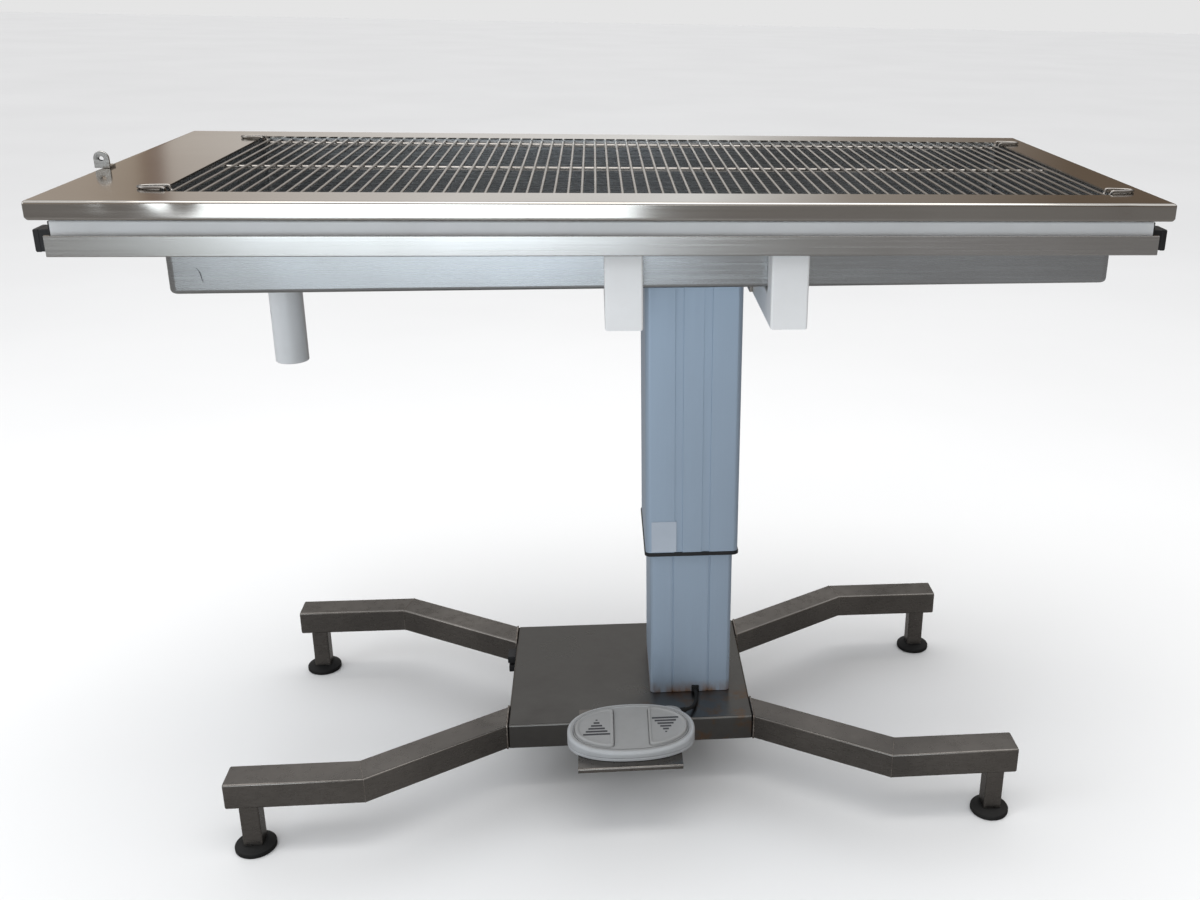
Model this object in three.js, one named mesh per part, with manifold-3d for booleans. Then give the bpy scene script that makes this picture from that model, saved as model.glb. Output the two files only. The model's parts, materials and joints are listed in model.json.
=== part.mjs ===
// Height-adjustable veterinary and grooming wet table: stainless top with a drain tub and a
// lift-out grate, on an electric two-stage column with a four-legged base and a foot switch.
// Millimetres, +Z up, X along the table, the front towards -Y, the floor at Z = 0.
import * as THREE from "three";
import { ConvexGeometry } from "three/addons/geometries/ConvexGeometry.js";
import { mergeVertices, toCreasedNormals } from "three/addons/utils/BufferGeometryUtils.js";
import Module from "manifold-3d";

const wasm = await Module();
wasm.setup();

const GAP = 0.3; // clearance between touching parts
const TINY = 1; // overshoot of a cutting body
const ROUND_SIDES = 20, SMALL_SIDES = 10, HEX = 6; // sides of a round part
const ARC_STEPS = 4, CROWN_STEPS = 3; // steps in a quarter turn
const WELD = 1e-4; // vertices closer than this are one
const CREASE = 0.6; // radians between faces shaded as one surface

// Table top
const TOP_L = 1400, TOP_W = 665, TOP_Z = 980;
const SHEET = 2, EDGE_R = 4, CORNER_R = 3;
const LIP_H = 23, LIP_RETURN = 22, LIP_NOTCH = 10;
// Tub under the opening in the top
const TUB_X0 = -572, TUB_X1 = 648, TUB_HALF_Y = 268, TUB_T = 2;
const TUB_ZL = 851.5, TUB_ZR = 861.5, TUB_CORNER = 10, TUB_BOTTOM_R = 6;
// Drain
const DRAIN_X = -497, DRAIN_HOLE_R = 22;
const PIPE_R = 24, PIPE_T = 2.6, PIPE_Z0 = 684, PIPE_Z1 = 845;
const PIPE_PORT_R = 4.5, PIPE_PORT_Z = 760, PIPE_PORT_TURN = 22;
const SOCKET_R = 29, SOCKET_FLANGE_R = 40, SOCKET_FLANGE_T = 5, SOCKET_Z0 = 818;
const STRAINER_R = 33, STRAINER_T = 1.5, STRAINER_HOLE_R = 3.5;
const STRAINER_RINGS = [[0, 1], [11, 6], [22, 12]];
// Grate
const ROD_COUNT = 70, ROD_X0 = -561, ROD_PITCH = 17.4, ROD_R = 2, ROD_HALF_Y = 264, ROD_Z = 975;
const ROD_SIDES = 6, BAR_R = 3, BAR_Z = 970.6, BAR_Y = 256;
const HOOK_L = 38, HOOK_W = 24, HOOK_D = 4, HOOK_Y = 243;
// Lug at the left edge
const LUG_X0 = -706.5, LUG_W = 20, LUG_Y = -80, LUG_T = 3, LUG_H = 22.5;
const LUG_HOLE_R = 3, LUG_HOLE_H = 12.5, LUG_FOOT = 18, LUG_FOOT_X = -699;
// Accessory rails and their white carrier tubes
const RAIL_HALF_L = 686, RAIL_Y = 322.7, RAIL_T = 6, RAIL_Z0 = 911.5, RAIL_Z1 = 937, RAIL_C = 1;
const STUD_COUNT = 5, STUD_PITCH = 320, STUD_R = 7;
const CARRIER_HALF_L = 683, CARRIER_Y0 = 268.6, CARRIER_Y1 = 308;
const CARRIER_Z0 = 912.5, CARRIER_Z1 = 952.5, CARRIER_T = 3, CARRIER_C = 1.5;
const PLUG_FLANGE = 2, PLUG_L = 22, PLUG_Y0 = 270, PLUG_Y1 = 299, PLUG_Z0 = 913, PLUG_Z1 = 940;
const PLUG_SPIGOT_L = 14;
// Cross members under the tub, either side of the column
const CROSS_W = 49, CROSS_X = [-30, 183], CROSS_Z0 = 811.5, CROSS_Z1 = 852, CROSS_T = 3, CROSS_C = 2;
// Lifting column
const COL_X = 101.5;
const OUT_W = 145, OUT_D = 184, OUT_R = 8, OUT_T = 5, OUT_Z0 = 389.3, OUT_Z1 = 846;
const IN_W = 131, IN_D = 160, IN_R = 7, IN_T = 5, IN_Z1 = 598;
const WIDE_GROOVE_X = [-27.5, 15], WIDE_GROOVE_W = 12.5, GROOVE_D = 1.5;
const THIN_GROOVE_X = [-30.5, 27.5], THIN_GROOVE_W = 3;
const RING_Z0 = 383.5, RING_W = 148, RING_D = 187, RING_R = 9, RING_CLEAR = 1.3;
const GLIDE_W = 90, GLIDE_T = 6.4, GLIDE_Z0 = 520, GLIDE_Z1 = 592;
const HEAD_T = 5, HEAD_HALF_Y = 125, HEAD_Z1 = 851.3, HEAD_FLANGE_H = 35;
const BOLT_Y = 110, BOLT_Z = 832, BOLT_R = 5, BOLT_HEAD_R = 9.2, BOLT_HEAD_H = 6.4, BOLT_L = 13;
const GEAR_HALF_X = 45, GEAR_HALF_Y = 60, GEAR_Z0 = 131, GEAR_Z1 = 190, GEAR_C = 6;
const SCREW_R = 10, SCREW_Z1 = 596, NUT_Z0 = 435, NUT_H = 30, NUT_TUBE_R = 22, NUT_TUBE_BORE = 16;
const LABEL_XS = [-63.5, -24.5], LABEL_ZS = [391, 443], LABEL_T = 0.5;
// Base
const BASE_X = 3, BASE_HALF_X = 194.5, BASE_HALF_Y = 158, BASE_Z0 = 86, BASE_Z1 = 128, BASE_T = 3;
const LEG_REACH = 595.5, LEG_KNEE = 395, LEG_Y = 281, LEG_W = 48.5, LEG_ANGLE = 31.5;
const LEG_T = 2.5, LEG_C = 1.6;
const POST_IN = 29.6, POST_W = 28, POST_T = 3, POST_PLATE = 12, POST_C = 1.4;
const FOOT_R = 30, FOOT_H = 12, FOOT_EDGE = 1.5, FOOT_SHOULDER = 7.5, FOOT_NECK_R = 18;
const FOOT_SOCKET_Z = 5, STEM_R = 5, STEM_Z1 = 70, STEM_CLEAR = 0.3;
// Foot switch and its bracket
const TRAY_XS = [-80, 77], TRAY_YS = [-284, -125], TRAY_T = 2, TRAY_LIP = 7;
const SW_X = 1, SW_Y = -214, SW_A = 98, SW_B = 57, SW_POWER = 2.25, SW_STEPS = 36;
const SW_Z0 = 130.6, SW_SPLIT = 136, SW_SHOULDER = 142, SW_FRONT_Z = 146, SW_REAR_Z = 160;
const SW_BEVEL = 8, SW_WALL = 2.5, SW_BUMP_X = 62, SW_BUMP_Y = -171, SW_BUMP_R = 21;
const PAD_EDGE = 26, PAD_MARGIN = 11, PAD_SLOT = 0.8, PAD_RISE = 4, PAD_BEVEL = 3, PAD_DEPTH = 7;
const PAD_STEPS = 14;
const BOARD_HALF_X = 58, BOARD_HALF_Y = 20, BOARD_T = 1.6, BOARD_Z0 = 133.4;
const BUTTON_X = 48, BUTTON_R = 5, BUTTON_H = 5;
// Cable and electrical fittings
const CABLE_R = 3, CABLE_ARC_STEPS = 4, CABLE_STEPS = 8;
const CABLE_PATH = [
  [110, -82.9, 135], [110, -87.5, 135], [110.6, -95, 134.6], [110.2, -106, 133.3], [107.5, -120, 133],
  [103, -133, 134.6], [97.5, -143, 137.4], [92, -149, 139.7], [88.4, -151.8, 140.4], [85.5, -153.9, 140.9],
];
const BOOT_Z = 145, BOOT_TURN = 36, BOOT_TILT = 8; // height at the bulge's axis, and degrees
const BOOT_NEAR = 15, BOOT_FAR = 33, BOOT_ROOT_R = 5.8, BOOT_TIP_R = 4.4, BOOT_SOCKET = 4;
const GROMMET_HALF = 6, GROMMET_T = 4.5, GROMMET_C = 1, GROMMET_X = 110, GROMMET_Z0 = 129;
const INLET_L = 14, INLET_YS = [62, 94], INLET_ZS = [90, 122];
const BOX_XS = [-173, -48], BOX_YS = [10, 120], BOX_ZS = [92, 124.4], BOX_C = 3;

const steel = { color: 0x9a958c, metalness: 0.9, roughness: 0.35 };
const white = { color: 0xe8eaec, metalness: 0, roughness: 0.4 };
const black = { color: 0x151515, metalness: 0, roughness: 0.6 };
const alloy = { color: 0x8f9bac, metalness: 0.6, roughness: 0.45 };
const grey = { color: 0x9c9d98, metalness: 0, roughness: 0.5 };

const table = new THREE.Group();
const column = new THREE.Group();
const base = new THREE.Group();
const footSwitch = new THREE.Group();
column.position.x = COL_X;
base.position.x = BASE_X;
const group = new THREE.Group();
group.add(table, column, base, footSwitch);

// A closed geometry as a solid that can be joined and cut.
function solid(geometry) {
  const bare = geometry.clone();
  bare.deleteAttribute("normal");
  bare.deleteAttribute("uv");
  const merged = mergeVertices(bare, WELD);
  return new wasm.Manifold(new wasm.Mesh({
    numProp: 3,
    vertProperties: merged.attributes.position.array,
    triVerts: new Uint32Array(merged.index.array),
  }));
}

// Adds one solid to a group as a named mesh.
function place(parent, name, body, look) {
  const { vertProperties, triVerts, numProp } = body.getMesh();
  const points = [];
  for (const corner of triVerts)
    points.push(...vertProperties.slice(corner * numProp, corner * numProp + 3));
  const shape = new THREE.BufferGeometry();
  shape.setAttribute("position", new THREE.Float32BufferAttribute(points, 3));
  const mesh = new THREE.Mesh(toCreasedNormals(shape, CREASE), new THREE.MeshStandardMaterial(look));
  mesh.name = name;
  parent.add(mesh);
  return mesh;
}

const RISING = (a, b) => a - b;

// A range in rising order, from two distances along the positive or negative side of an axis.
function span(near, far, side) {
  return side < 0 ? [-far, -near] : [near, far];
}

// A block from its ranges along X, Y and Z.
function block([x0, x1], [y0, y1], [z0, z1]) {
  return solid(new THREE.BoxGeometry(x1 - x0, y1 - y0, z1 - z0)
    .translate((x0 + x1) / 2, (y0 + y1) / 2, (z0 + z1) / 2));
}

// The convex solid around a list of [x, y, z] points.
function hull(points) {
  return solid(new ConvexGeometry(points.map((p) => new THREE.Vector3(...p))));
}

// A block with every edge cut back by c.
function easedBlock(xs, ys, zs, c) {
  const points = [];
  for (const i of [0, 1])
    for (const j of [0, 1])
      for (const k of [0, 1]) {
        const x = xs[i], y = ys[j], z = zs[k];
        const dx = i ? -c : c, dy = j ? -c : c, dz = k ? -c : c;
        points.push([x, y + dy, z + dz], [x + dx, y, z + dz], [x + dx, y + dy, z]);
      }
  return hull(points);
}

// An upright cylinder on the line through (x, y).
function upright(r, [z0, z1], x = 0, y = 0, sides = ROUND_SIDES) {
  return solid(new THREE.CylinderGeometry(r, r, z1 - z0, sides).rotateX(Math.PI / 2)
    .translate(x, y, (z0 + z1) / 2));
}

// A cylinder lying along X.
function alongX(r, [x0, x1], y, z, sides = ROUND_SIDES) {
  return solid(new THREE.CylinderGeometry(r, r, x1 - x0, sides).rotateZ(Math.PI / 2)
    .translate((x0 + x1) / 2, y, z));
}

// A cylinder lying along Y.
function alongY(r, [y0, y1], x, z, sides = ROUND_SIDES) {
  return solid(new THREE.CylinderGeometry(r, r, y1 - y0, sides).translate(x, (y0 + y1) / 2, z));
}

// An outline given a depth from its own plane upwards.
function thicken(shape, depth) {
  return new THREE.ExtrudeGeometry(shape, { depth, bevelEnabled: false, curveSegments: ARC_STEPS });
}

// An outline raised from z0 to z1.
function raise(shape, [z0, z1]) {
  return solid(thicken(shape, z1 - z0).translate(0, 0, z0));
}

// An outline drawn in X and Z, given a thickness along Y.
function raiseAlongY(shape, [y0, y1]) {
  return solid(thicken(shape, y1 - y0).rotateX(Math.PI / 2).translate(0, y1, 0));
}

// A rectangle with rounded corners, centred on (x, y).
function roundRect(w, d, r, x = 0, y = 0) {
  const shape = new THREE.Shape();
  const right = x + w / 2 - r, left = x - w / 2 + r, rear = y + d / 2 - r, front = y - d / 2 + r;
  shape.absarc(right, rear, r, 0, Math.PI / 2);
  shape.absarc(left, rear, r, Math.PI / 2, Math.PI);
  shape.absarc(left, front, r, Math.PI, 1.5 * Math.PI);
  shape.absarc(right, front, r, 1.5 * Math.PI, 2 * Math.PI);
  return shape;
}

// A slab with its upper edges rounded by r and its plan corners by corner.
function crownedSlab(w, d, corner, r, [z0, z1]) {
  const levels = [[z0, 0]];
  for (let i = 0; i <= CROWN_STEPS; i++) {
    const a = (i * Math.PI) / 2 / CROWN_STEPS;
    levels.push([z1 - r + r * Math.sin(a), r - r * Math.cos(a)]);
  }
  const points = [];
  for (const [z, inset] of levels)
    for (const sx of [-1, 1])
      for (const sy of [-1, 1])
        for (let i = 0; i <= CROWN_STEPS; i++) {
          const a = (i * Math.PI) / 2 / CROWN_STEPS;
          const reach = Math.max(corner - inset, 0), shift = Math.max(corner, inset);
          const x = w / 2 - shift + reach * Math.cos(a), y = d / 2 - shift + reach * Math.sin(a);
          points.push([sx * x, sy * y, z]);
        }
  return hull(points);
}

function topPan() {
  const under = TOP_Z - LIP_H;
  const cavity = crownedSlab(TOP_L - 2 * SHEET, TOP_W - 2 * SHEET, SHEET, EDGE_R - SHEET,
    [under - TINY, TOP_Z - SHEET]);
  const flange = raise(roundRect(TOP_L - SHEET, TOP_W - SHEET, CORNER_R), [under, under + SHEET])
    .subtract(block(span(LIP_RETURN - TOP_L / 2, TOP_L / 2 - LIP_RETURN, 1),
      span(LIP_RETURN - TOP_W / 2, TOP_W / 2 - LIP_RETURN, 1), [0, TOP_Z]));
  const opening = raise(roundRect(TUB_X1 - TUB_X0 - 2 * TUB_T, 2 * (TUB_HALF_Y - TUB_T),
    TUB_CORNER - TUB_T, (TUB_X0 + TUB_X1) / 2), [TOP_Z - 2 * SHEET, TOP_Z + TINY]);
  let pan = crownedSlab(TOP_L, TOP_W, CORNER_R, EDGE_R, [under, TOP_Z])
    .subtract(cavity).add(flange).subtract(opening);
  for (const sx of [-1, 1])
    for (const sy of [-1, 1]) {
      const x = sx * (TOP_L / 2 + TINY), y = sy * (TOP_W / 2 + TINY), z = under - TINY;
      const reach = LIP_NOTCH + TINY;
      const corner = [[x, y, z], [x, y, z + reach], [x - sx * reach, y, z], [x, y - sy * reach, z]];
      pan = pan.subtract(hull(corner));
    }
  place(table, "top_pan", pan, steel);
}

// The tub's outside (inset 0) or its inside (inset by the wall) up to a level.
function tubBody(inset, top) {
  const x0 = TUB_X0 + inset, x1 = TUB_X1 - inset, half = TUB_HALF_Y - inset;
  const left = TUB_ZL + inset, right = TUB_ZR + inset, r = TUB_BOTTOM_R - inset;
  const side = new THREE.Shape();
  side.moveTo(x1, top);
  side.lineTo(x0, top);
  side.absarc(x0 + r, left + r, r, Math.PI, 1.5 * Math.PI);
  side.absarc(x1 - r, right + r, r, 1.5 * Math.PI, 2 * Math.PI);
  const plan = roundRect(x1 - x0, 2 * half, TUB_CORNER - inset, (x0 + x1) / 2);
  return raiseAlongY(side, [-half, half]).intersect(raise(plan, [0, 2 * TOP_Z]));
}

// The level of the tub floor's upper face at a position along the table.
function floorAt(x) {
  return TUB_ZL + TUB_T + ((TUB_ZR - TUB_ZL) * (x - TUB_X0)) / (TUB_X1 - TUB_X0);
}

function drainTub() {
  const top = TOP_Z - SHEET - GAP;
  const tub = tubBody(0, top).subtract(tubBody(TUB_T, top + TINY))
    .subtract(upright(DRAIN_HOLE_R, [TUB_ZL - TINY, TUB_ZL + 4 * TUB_T], DRAIN_X));
  place(table, "drain_tub", tub, steel);
}

function drainStrainer() {
  const low = floorAt(DRAIN_X) + 2 * GAP;
  let disc = upright(STRAINER_R, [low, low + STRAINER_T], DRAIN_X);
  for (const [r, count] of STRAINER_RINGS)
    for (let i = 0; i < count; i++) {
      const a = (2 * Math.PI * i) / count;
      disc = disc.subtract(upright(STRAINER_HOLE_R, [low - TINY, low + STRAINER_T + TINY],
        DRAIN_X + r * Math.cos(a), r * Math.sin(a), SMALL_SIDES));
    }
  place(table, "drain_strainer", disc, steel);
}

function drainOutlet() {
  const top = TUB_ZL - GAP, bore = PIPE_R - PIPE_T;
  const socket = upright(SOCKET_FLANGE_R, [top - SOCKET_FLANGE_T, top], DRAIN_X)
    .add(upright(SOCKET_R, [SOCKET_Z0, top - TINY], DRAIN_X))
    .subtract(upright(PIPE_R + GAP, [SOCKET_Z0 - TINY, PIPE_Z1 + GAP], DRAIN_X))
    .subtract(upright(bore, [SOCKET_Z0, top + TINY], DRAIN_X));
  place(table, "drain_socket", socket, white);
  const reach = PIPE_R + TINY;
  const port = solid(new THREE.CylinderGeometry(PIPE_PORT_R, PIPE_PORT_R, reach, ROUND_SIDES)
    .rotateZ(Math.PI / 2)
    .translate(-reach / 2, 0, PIPE_PORT_Z)
    .rotateZ(THREE.MathUtils.degToRad(PIPE_PORT_TURN))
    .translate(DRAIN_X, 0, 0));
  const pipe = upright(PIPE_R, [PIPE_Z0, PIPE_Z1], DRAIN_X)
    .subtract(upright(bore, [PIPE_Z0 - TINY, PIPE_Z1 + TINY], DRAIN_X))
    .subtract(port);
  place(table, "drain_pipe", pipe, white);
}

// A bent-rod loop lying on the rim past the grate's end, with the riser that joins it to the grate.
function rimHook(x, y, side) {
  const z = TOP_Z + GAP, half = HOOK_W / 2, tip = HOOK_W / 3, turn = HOOK_L - tip;
  const loop = (inset) => {
    const shape = new THREE.Shape();
    shape.moveTo(inset, half - inset);
    shape.lineTo(inset, inset - half);
    shape.absarc(turn, 0, tip - inset, -Math.PI / 2, Math.PI / 2);
    return shape;
  };
  const outline = loop(0);
  outline.holes.push(loop(HOOK_D));
  const flat = thicken(outline, HOOK_D).rotateZ(side < 0 ? Math.PI : 0);
  const ends = [x - side * ROD_R, x + side * HOOK_D].sort(RISING);
  return solid(flat.translate(x, y, z)).add(block(ends, [y - half, y + half], [ROD_Z, z + HOOK_D]));
}

function grate() {
  const last = ROD_X0 + (ROD_COUNT - 1) * ROD_PITCH;
  const bars = [ROD_X0 - BAR_R, last + BAR_R];
  let frame = alongX(BAR_R, bars, 0, BAR_Z, ROD_SIDES);
  for (const sy of [-1, 1])
    frame = frame.add(alongX(BAR_R, bars, sy * BAR_Y, BAR_Z, ROD_SIDES));
  for (let i = 0; i < ROD_COUNT; i++)
    frame = frame.add(alongY(ROD_R, [-ROD_HALF_Y, ROD_HALF_Y], ROD_X0 + i * ROD_PITCH, ROD_Z, ROD_SIDES));
  for (const sy of [-1, 1])
    frame = frame.add(rimHook(ROD_X0 - ROD_R, sy * HOOK_Y, -1)).add(rimHook(last + ROD_R, sy * HOOK_Y, 1));
  place(table, "grate", frame, steel);
}

function restraintLug() {
  const z = TOP_Z + GAP, r = LUG_W / 2, x = LUG_X0 + r;
  const face = new THREE.Shape();
  face.moveTo(x - r, z);
  face.lineTo(x + r, z);
  face.absarc(x, z + LUG_H - r, r, 0, Math.PI);
  const tab = raiseAlongY(face, [LUG_Y - LUG_T, LUG_Y])
    .subtract(alongY(LUG_HOLE_R, [LUG_Y - LUG_T - TINY, LUG_Y + TINY], x, z + LUG_HOLE_H));
  const foot = block([LUG_FOOT_X, x + r], [LUG_Y - LUG_T, LUG_Y + LUG_FOOT], [z, z + LUG_T]);
  place(table, "restraint_lug", tab.add(foot), steel);
}

// The stainless accessory rail with its welded stand-off studs; side is -1 at the front.
function accessoryRail(name, side) {
  let rail = easedBlock([-RAIL_HALF_L, RAIL_HALF_L], span(RAIL_Y - RAIL_T, RAIL_Y, side),
    [RAIL_Z0, RAIL_Z1], RAIL_C);
  const reach = span(CARRIER_Y1 + GAP, RAIL_Y - RAIL_T / 2, side);
  for (let i = 0; i < STUD_COUNT; i++) {
    const x = (i - (STUD_COUNT - 1) / 2) * STUD_PITCH;
    rail = rail.add(alongY(STUD_R, reach, x, (RAIL_Z0 + RAIL_Z1) / 2, SMALL_SIDES));
  }
  place(table, name, rail, steel);
}

function carrierTube(name, side) {
  const [y0, y1] = span(CARRIER_Y0, CARRIER_Y1, side);
  const bore = block([-TOP_L, TOP_L], [y0 + CARRIER_T, y1 - CARRIER_T],
    [CARRIER_Z0 + CARRIER_T, CARRIER_Z1 - CARRIER_T]);
  const tube = easedBlock([-CARRIER_HALF_L, CARRIER_HALF_L], [y0, y1], [CARRIER_Z0, CARRIER_Z1], CARRIER_C);
  place(table, name, tube.subtract(bore), white);
}

function endPlug(name, sx, sy) {
  const root = CARRIER_HALF_L + GAP, inset = CARRIER_T + GAP;
  const flange = block(span(root, root + PLUG_FLANGE, sx), span(CARRIER_Y0 + TINY, CARRIER_Y1 - TINY, sy),
    [CARRIER_Z0 + TINY, CARRIER_Z1 - TINY]);
  const spigot = block(span(root - PLUG_SPIGOT_L, root + TINY, sx),
    span(CARRIER_Y0 + inset, CARRIER_Y1 - inset, sy), [CARRIER_Z0 + inset, CARRIER_Z1 - inset]);
  const stop = easedBlock(span(root, root + PLUG_FLANGE + PLUG_L, sx), span(PLUG_Y0, PLUG_Y1, sy),
    [PLUG_Z0, PLUG_Z1], 1);
  place(table, name, flange.add(spigot).add(stop), black);
}

function crossMember(name, x0) {
  const x1 = x0 + CROSS_W, top = CARRIER_Z0 - GAP, bore = [x0 + CROSS_T, x1 - CROSS_T];
  const end = CARRIER_Y1 - CROSS_T;
  let frame = easedBlock([x0, x1], [-CARRIER_Y1, CARRIER_Y1], [CROSS_Z0, CROSS_Z1], CROSS_C);
  let hollow = block(bore, [-end, end], [CROSS_Z0 + CROSS_T, CROSS_Z1 - CROSS_T]);
  for (const side of [-1, 1]) {
    frame = frame.add(easedBlock([x0, x1], span(CARRIER_Y0, CARRIER_Y1, side), [CROSS_Z0, top], CROSS_C));
    hollow = hollow.add(block(bore, span(CARRIER_Y0 + CROSS_T, end, side), [CROSS_Z0 + CROSS_T, top + TINY]));
  }
  const face = x0 < COL_X ? x1 : x0;
  for (const y of [-BOLT_Y, BOLT_Y])
    hollow = hollow.add(alongX(BOLT_R + GAP, [face - 2 * CROSS_T, face + 2 * CROSS_T], y, BOLT_Z));
  place(table, name, frame.subtract(hollow), white);
}

function headBracket() {
  const x0 = CROSS_X[0] + CROSS_W + GAP, x1 = CROSS_X[1] - GAP, depth = [-HEAD_HALF_Y, HEAD_HALF_Y];
  let bracket = block([x0, x1], depth, [HEAD_Z1 - HEAD_T, HEAD_Z1]);
  for (const x of [x0, x1 - HEAD_T])
    bracket = bracket.add(block([x, x + HEAD_T], depth, [HEAD_Z1 - HEAD_FLANGE_H, HEAD_Z1]));
  for (const y of [-BOLT_Y, BOLT_Y])
    bracket = bracket.subtract(alongX(BOLT_R + GAP, [x0 - TINY, x1 + TINY], y, BOLT_Z));
  place(table, "head_bracket", bracket, steel);
}

// A hex bolt from inside the head bracket into a cross member; side is the way its shank points.
function headBolt(name, side, y) {
  const seat = side < 0 ? CROSS_X[0] + CROSS_W + HEAD_T + 2 * GAP : CROSS_X[1] - HEAD_T - 2 * GAP;
  const head = alongX(BOLT_HEAD_R, [seat, seat - side * BOLT_HEAD_H].sort(RISING), y, BOLT_Z, HEX);
  const shank = alongX(BOLT_R, [seat - side * TINY, seat + side * BOLT_L].sort(RISING), y, BOLT_Z);
  place(table, name, head.add(shank), steel);
}

// A hollow column profile with upright grooves in its front and back faces, centred on the column.
function columnProfile(w, d, r, t, grooves, grooveW, levels) {
  let profile = raise(roundRect(w, d, r), levels)
    .subtract(raise(roundRect(w - 2 * t, d - 2 * t, r - t), [levels[0] - TINY, levels[1] + TINY]));
  for (const x of grooves)
    for (const side of [-1, 1])
      profile = profile.subtract(block([x, x + grooveW], span(d / 2 - GROOVE_D, d / 2 + GROOVE_D, side),
        [levels[0] - TINY, levels[1] + TINY]));
  return profile;
}

function liftingColumn() {
  place(column, "outer_profile",
    columnProfile(OUT_W, OUT_D, OUT_R, OUT_T, WIDE_GROOVE_X, WIDE_GROOVE_W, [OUT_Z0, OUT_Z1]), alloy);
  place(column, "inner_profile",
    columnProfile(IN_W, IN_D, IN_R, IN_T, THIN_GROOVE_X, THIN_GROOVE_W, [BASE_Z1 + GAP, IN_Z1]), alloy);
  const ring = raise(roundRect(RING_W, RING_D, RING_R), [RING_Z0, OUT_Z0 - GAP])
    .subtract(raise(roundRect(IN_W + 2 * RING_CLEAR, IN_D + 2 * RING_CLEAR, IN_R + RING_CLEAR), [0, OUT_Z1]));
  place(column, "profile_end_ring", ring, black);
  for (const [name, side] of [["glide_front", -1], ["glide_rear", 1]]) {
    const ys = span(IN_D / 2 + GAP, IN_D / 2 + GAP + GLIDE_T, side);
    place(column, name, block([-GLIDE_W / 2, GLIDE_W / 2], ys, [GLIDE_Z0, GLIDE_Z1]), grey);
  }
  const label = block(LABEL_XS, span(OUT_D / 2 + GAP, OUT_D / 2 + GAP + LABEL_T, -1), LABEL_ZS);
  place(column, "label_plate", label, grey);
}

function columnDrive() {
  place(column, "gear_motor", easedBlock([-GEAR_HALF_X, GEAR_HALF_X], [-GEAR_HALF_Y, GEAR_HALF_Y],
    [GEAR_Z0, GEAR_Z1], GEAR_C), black);
  place(column, "lead_screw", upright(SCREW_R, [GEAR_Z1 + GAP, SCREW_Z1]), steel);
  const top = HEAD_Z1 - HEAD_T - GAP;
  const nut = upright(NUT_TUBE_R, [NUT_Z0, top])
    .subtract(upright(SCREW_R + GAP, [NUT_Z0 - TINY, top - TINY]))
    .subtract(upright(NUT_TUBE_BORE, [NUT_Z0 + NUT_H, top + TINY]));
  place(column, "nut_tube", nut, steel);
}

function basePlate() {
  const w = 2 * BASE_HALF_X, d = 2 * BASE_HALF_Y;
  const plate = crownedSlab(w, d, CORNER_R, CORNER_R, [BASE_Z0, BASE_Z1])
    .subtract(block([BASE_T - w / 2, w / 2 - BASE_T], [BASE_T - d / 2, d / 2 - BASE_T],
      [BASE_Z0 - TINY, BASE_Z1 - BASE_T]));
  place(base, "base_plate", plate, steel);
}

// A leg's plan outline in the corner towards +X and +Y: out along the outer edge from the leg's end
// to the base, and back along the inner edge, with each side wall drawn in by inset.
function legOutline(inset, start, end) {
  const angle = THREE.MathUtils.degToRad(LEG_ANGLE);
  const bend = Math.tan(angle / 2), slope = Math.tan(angle), wall = LEG_W - inset;
  const outY = LEG_Y - inset, inY = LEG_Y - wall;
  const outKnee = LEG_KNEE + bend * inset, inKnee = LEG_KNEE + bend * wall;
  return [
    [start, outY], [outKnee, outY], [end, outY - (outKnee - end) * slope],
    [end, inY - (inKnee - end) * slope], [inKnee, inY], [start, inY],
  ];
}

// A dog-leg tube with eased edges, open towards the base.
function leg(name, sx, sy) {
  const end = BASE_HALF_X + GAP;
  const plan = (points) => new THREE.Shape(points.map(([x, y]) => new THREE.Vector2(sx * x, sy * y)));
  const outside = new THREE.ExtrudeGeometry(plan(legOutline(0, LEG_REACH, end)), {
    depth: BASE_Z1 - BASE_Z0 - 2 * LEG_C,
    bevelThickness: LEG_C,
    bevelSize: LEG_C,
    bevelOffset: -LEG_C,
    bevelSegments: 1,
  }).translate(0, 0, BASE_Z0 + LEG_C);
  const bore = plan(legOutline(LEG_T, LEG_REACH - LEG_T, end - TINY));
  const tube = solid(outside).subtract(raise(bore, [BASE_Z0 + LEG_T, BASE_Z1 - LEG_T]));
  place(base, name, tube, steel);
}

// The post under a leg's end with its levelling foot: a round pad and the screwed stem that turns in it.
function legFoot(tag, sx, sy) {
  const corner = new THREE.Group();
  corner.position.set(sx * (LEG_REACH - POST_IN), sy * (LEG_Y - LEG_W / 2), 0);
  base.add(corner);
  const low = FOOT_H + GAP, high = BASE_Z0 - GAP, half = POST_W / 2, bore = [POST_T - half, half - POST_T];
  const tube = easedBlock([-half, half], [-half, half], [low, high], POST_C)
    .subtract(block(bore, bore, [low + POST_PLATE, high + TINY]))
    .subtract(upright(STEM_R + STEM_CLEAR, [0, BASE_Z0]));
  place(corner, `post_${tag}`, tube, steel);
  const rim = [
    [0, 0], [FOOT_R - FOOT_EDGE, 0], [FOOT_R, FOOT_EDGE], [FOOT_R, FOOT_SHOULDER], [FOOT_NECK_R, FOOT_H],
    [STEM_R + STEM_CLEAR, FOOT_H], [STEM_R + STEM_CLEAR, FOOT_SOCKET_Z], [0, FOOT_SOCKET_Z],
  ].map(([r, z]) => new THREE.Vector2(r, z));
  const pad = new THREE.LatheGeometry(rim, 2 * ROUND_SIDES).rotateX(Math.PI / 2);
  place(corner, `foot_pad_${tag}`, solid(pad), black);
  place(corner, `foot_stem_${tag}`, upright(STEM_R, [FOOT_SOCKET_Z + GAP, STEM_Z1]), steel);
}

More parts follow.
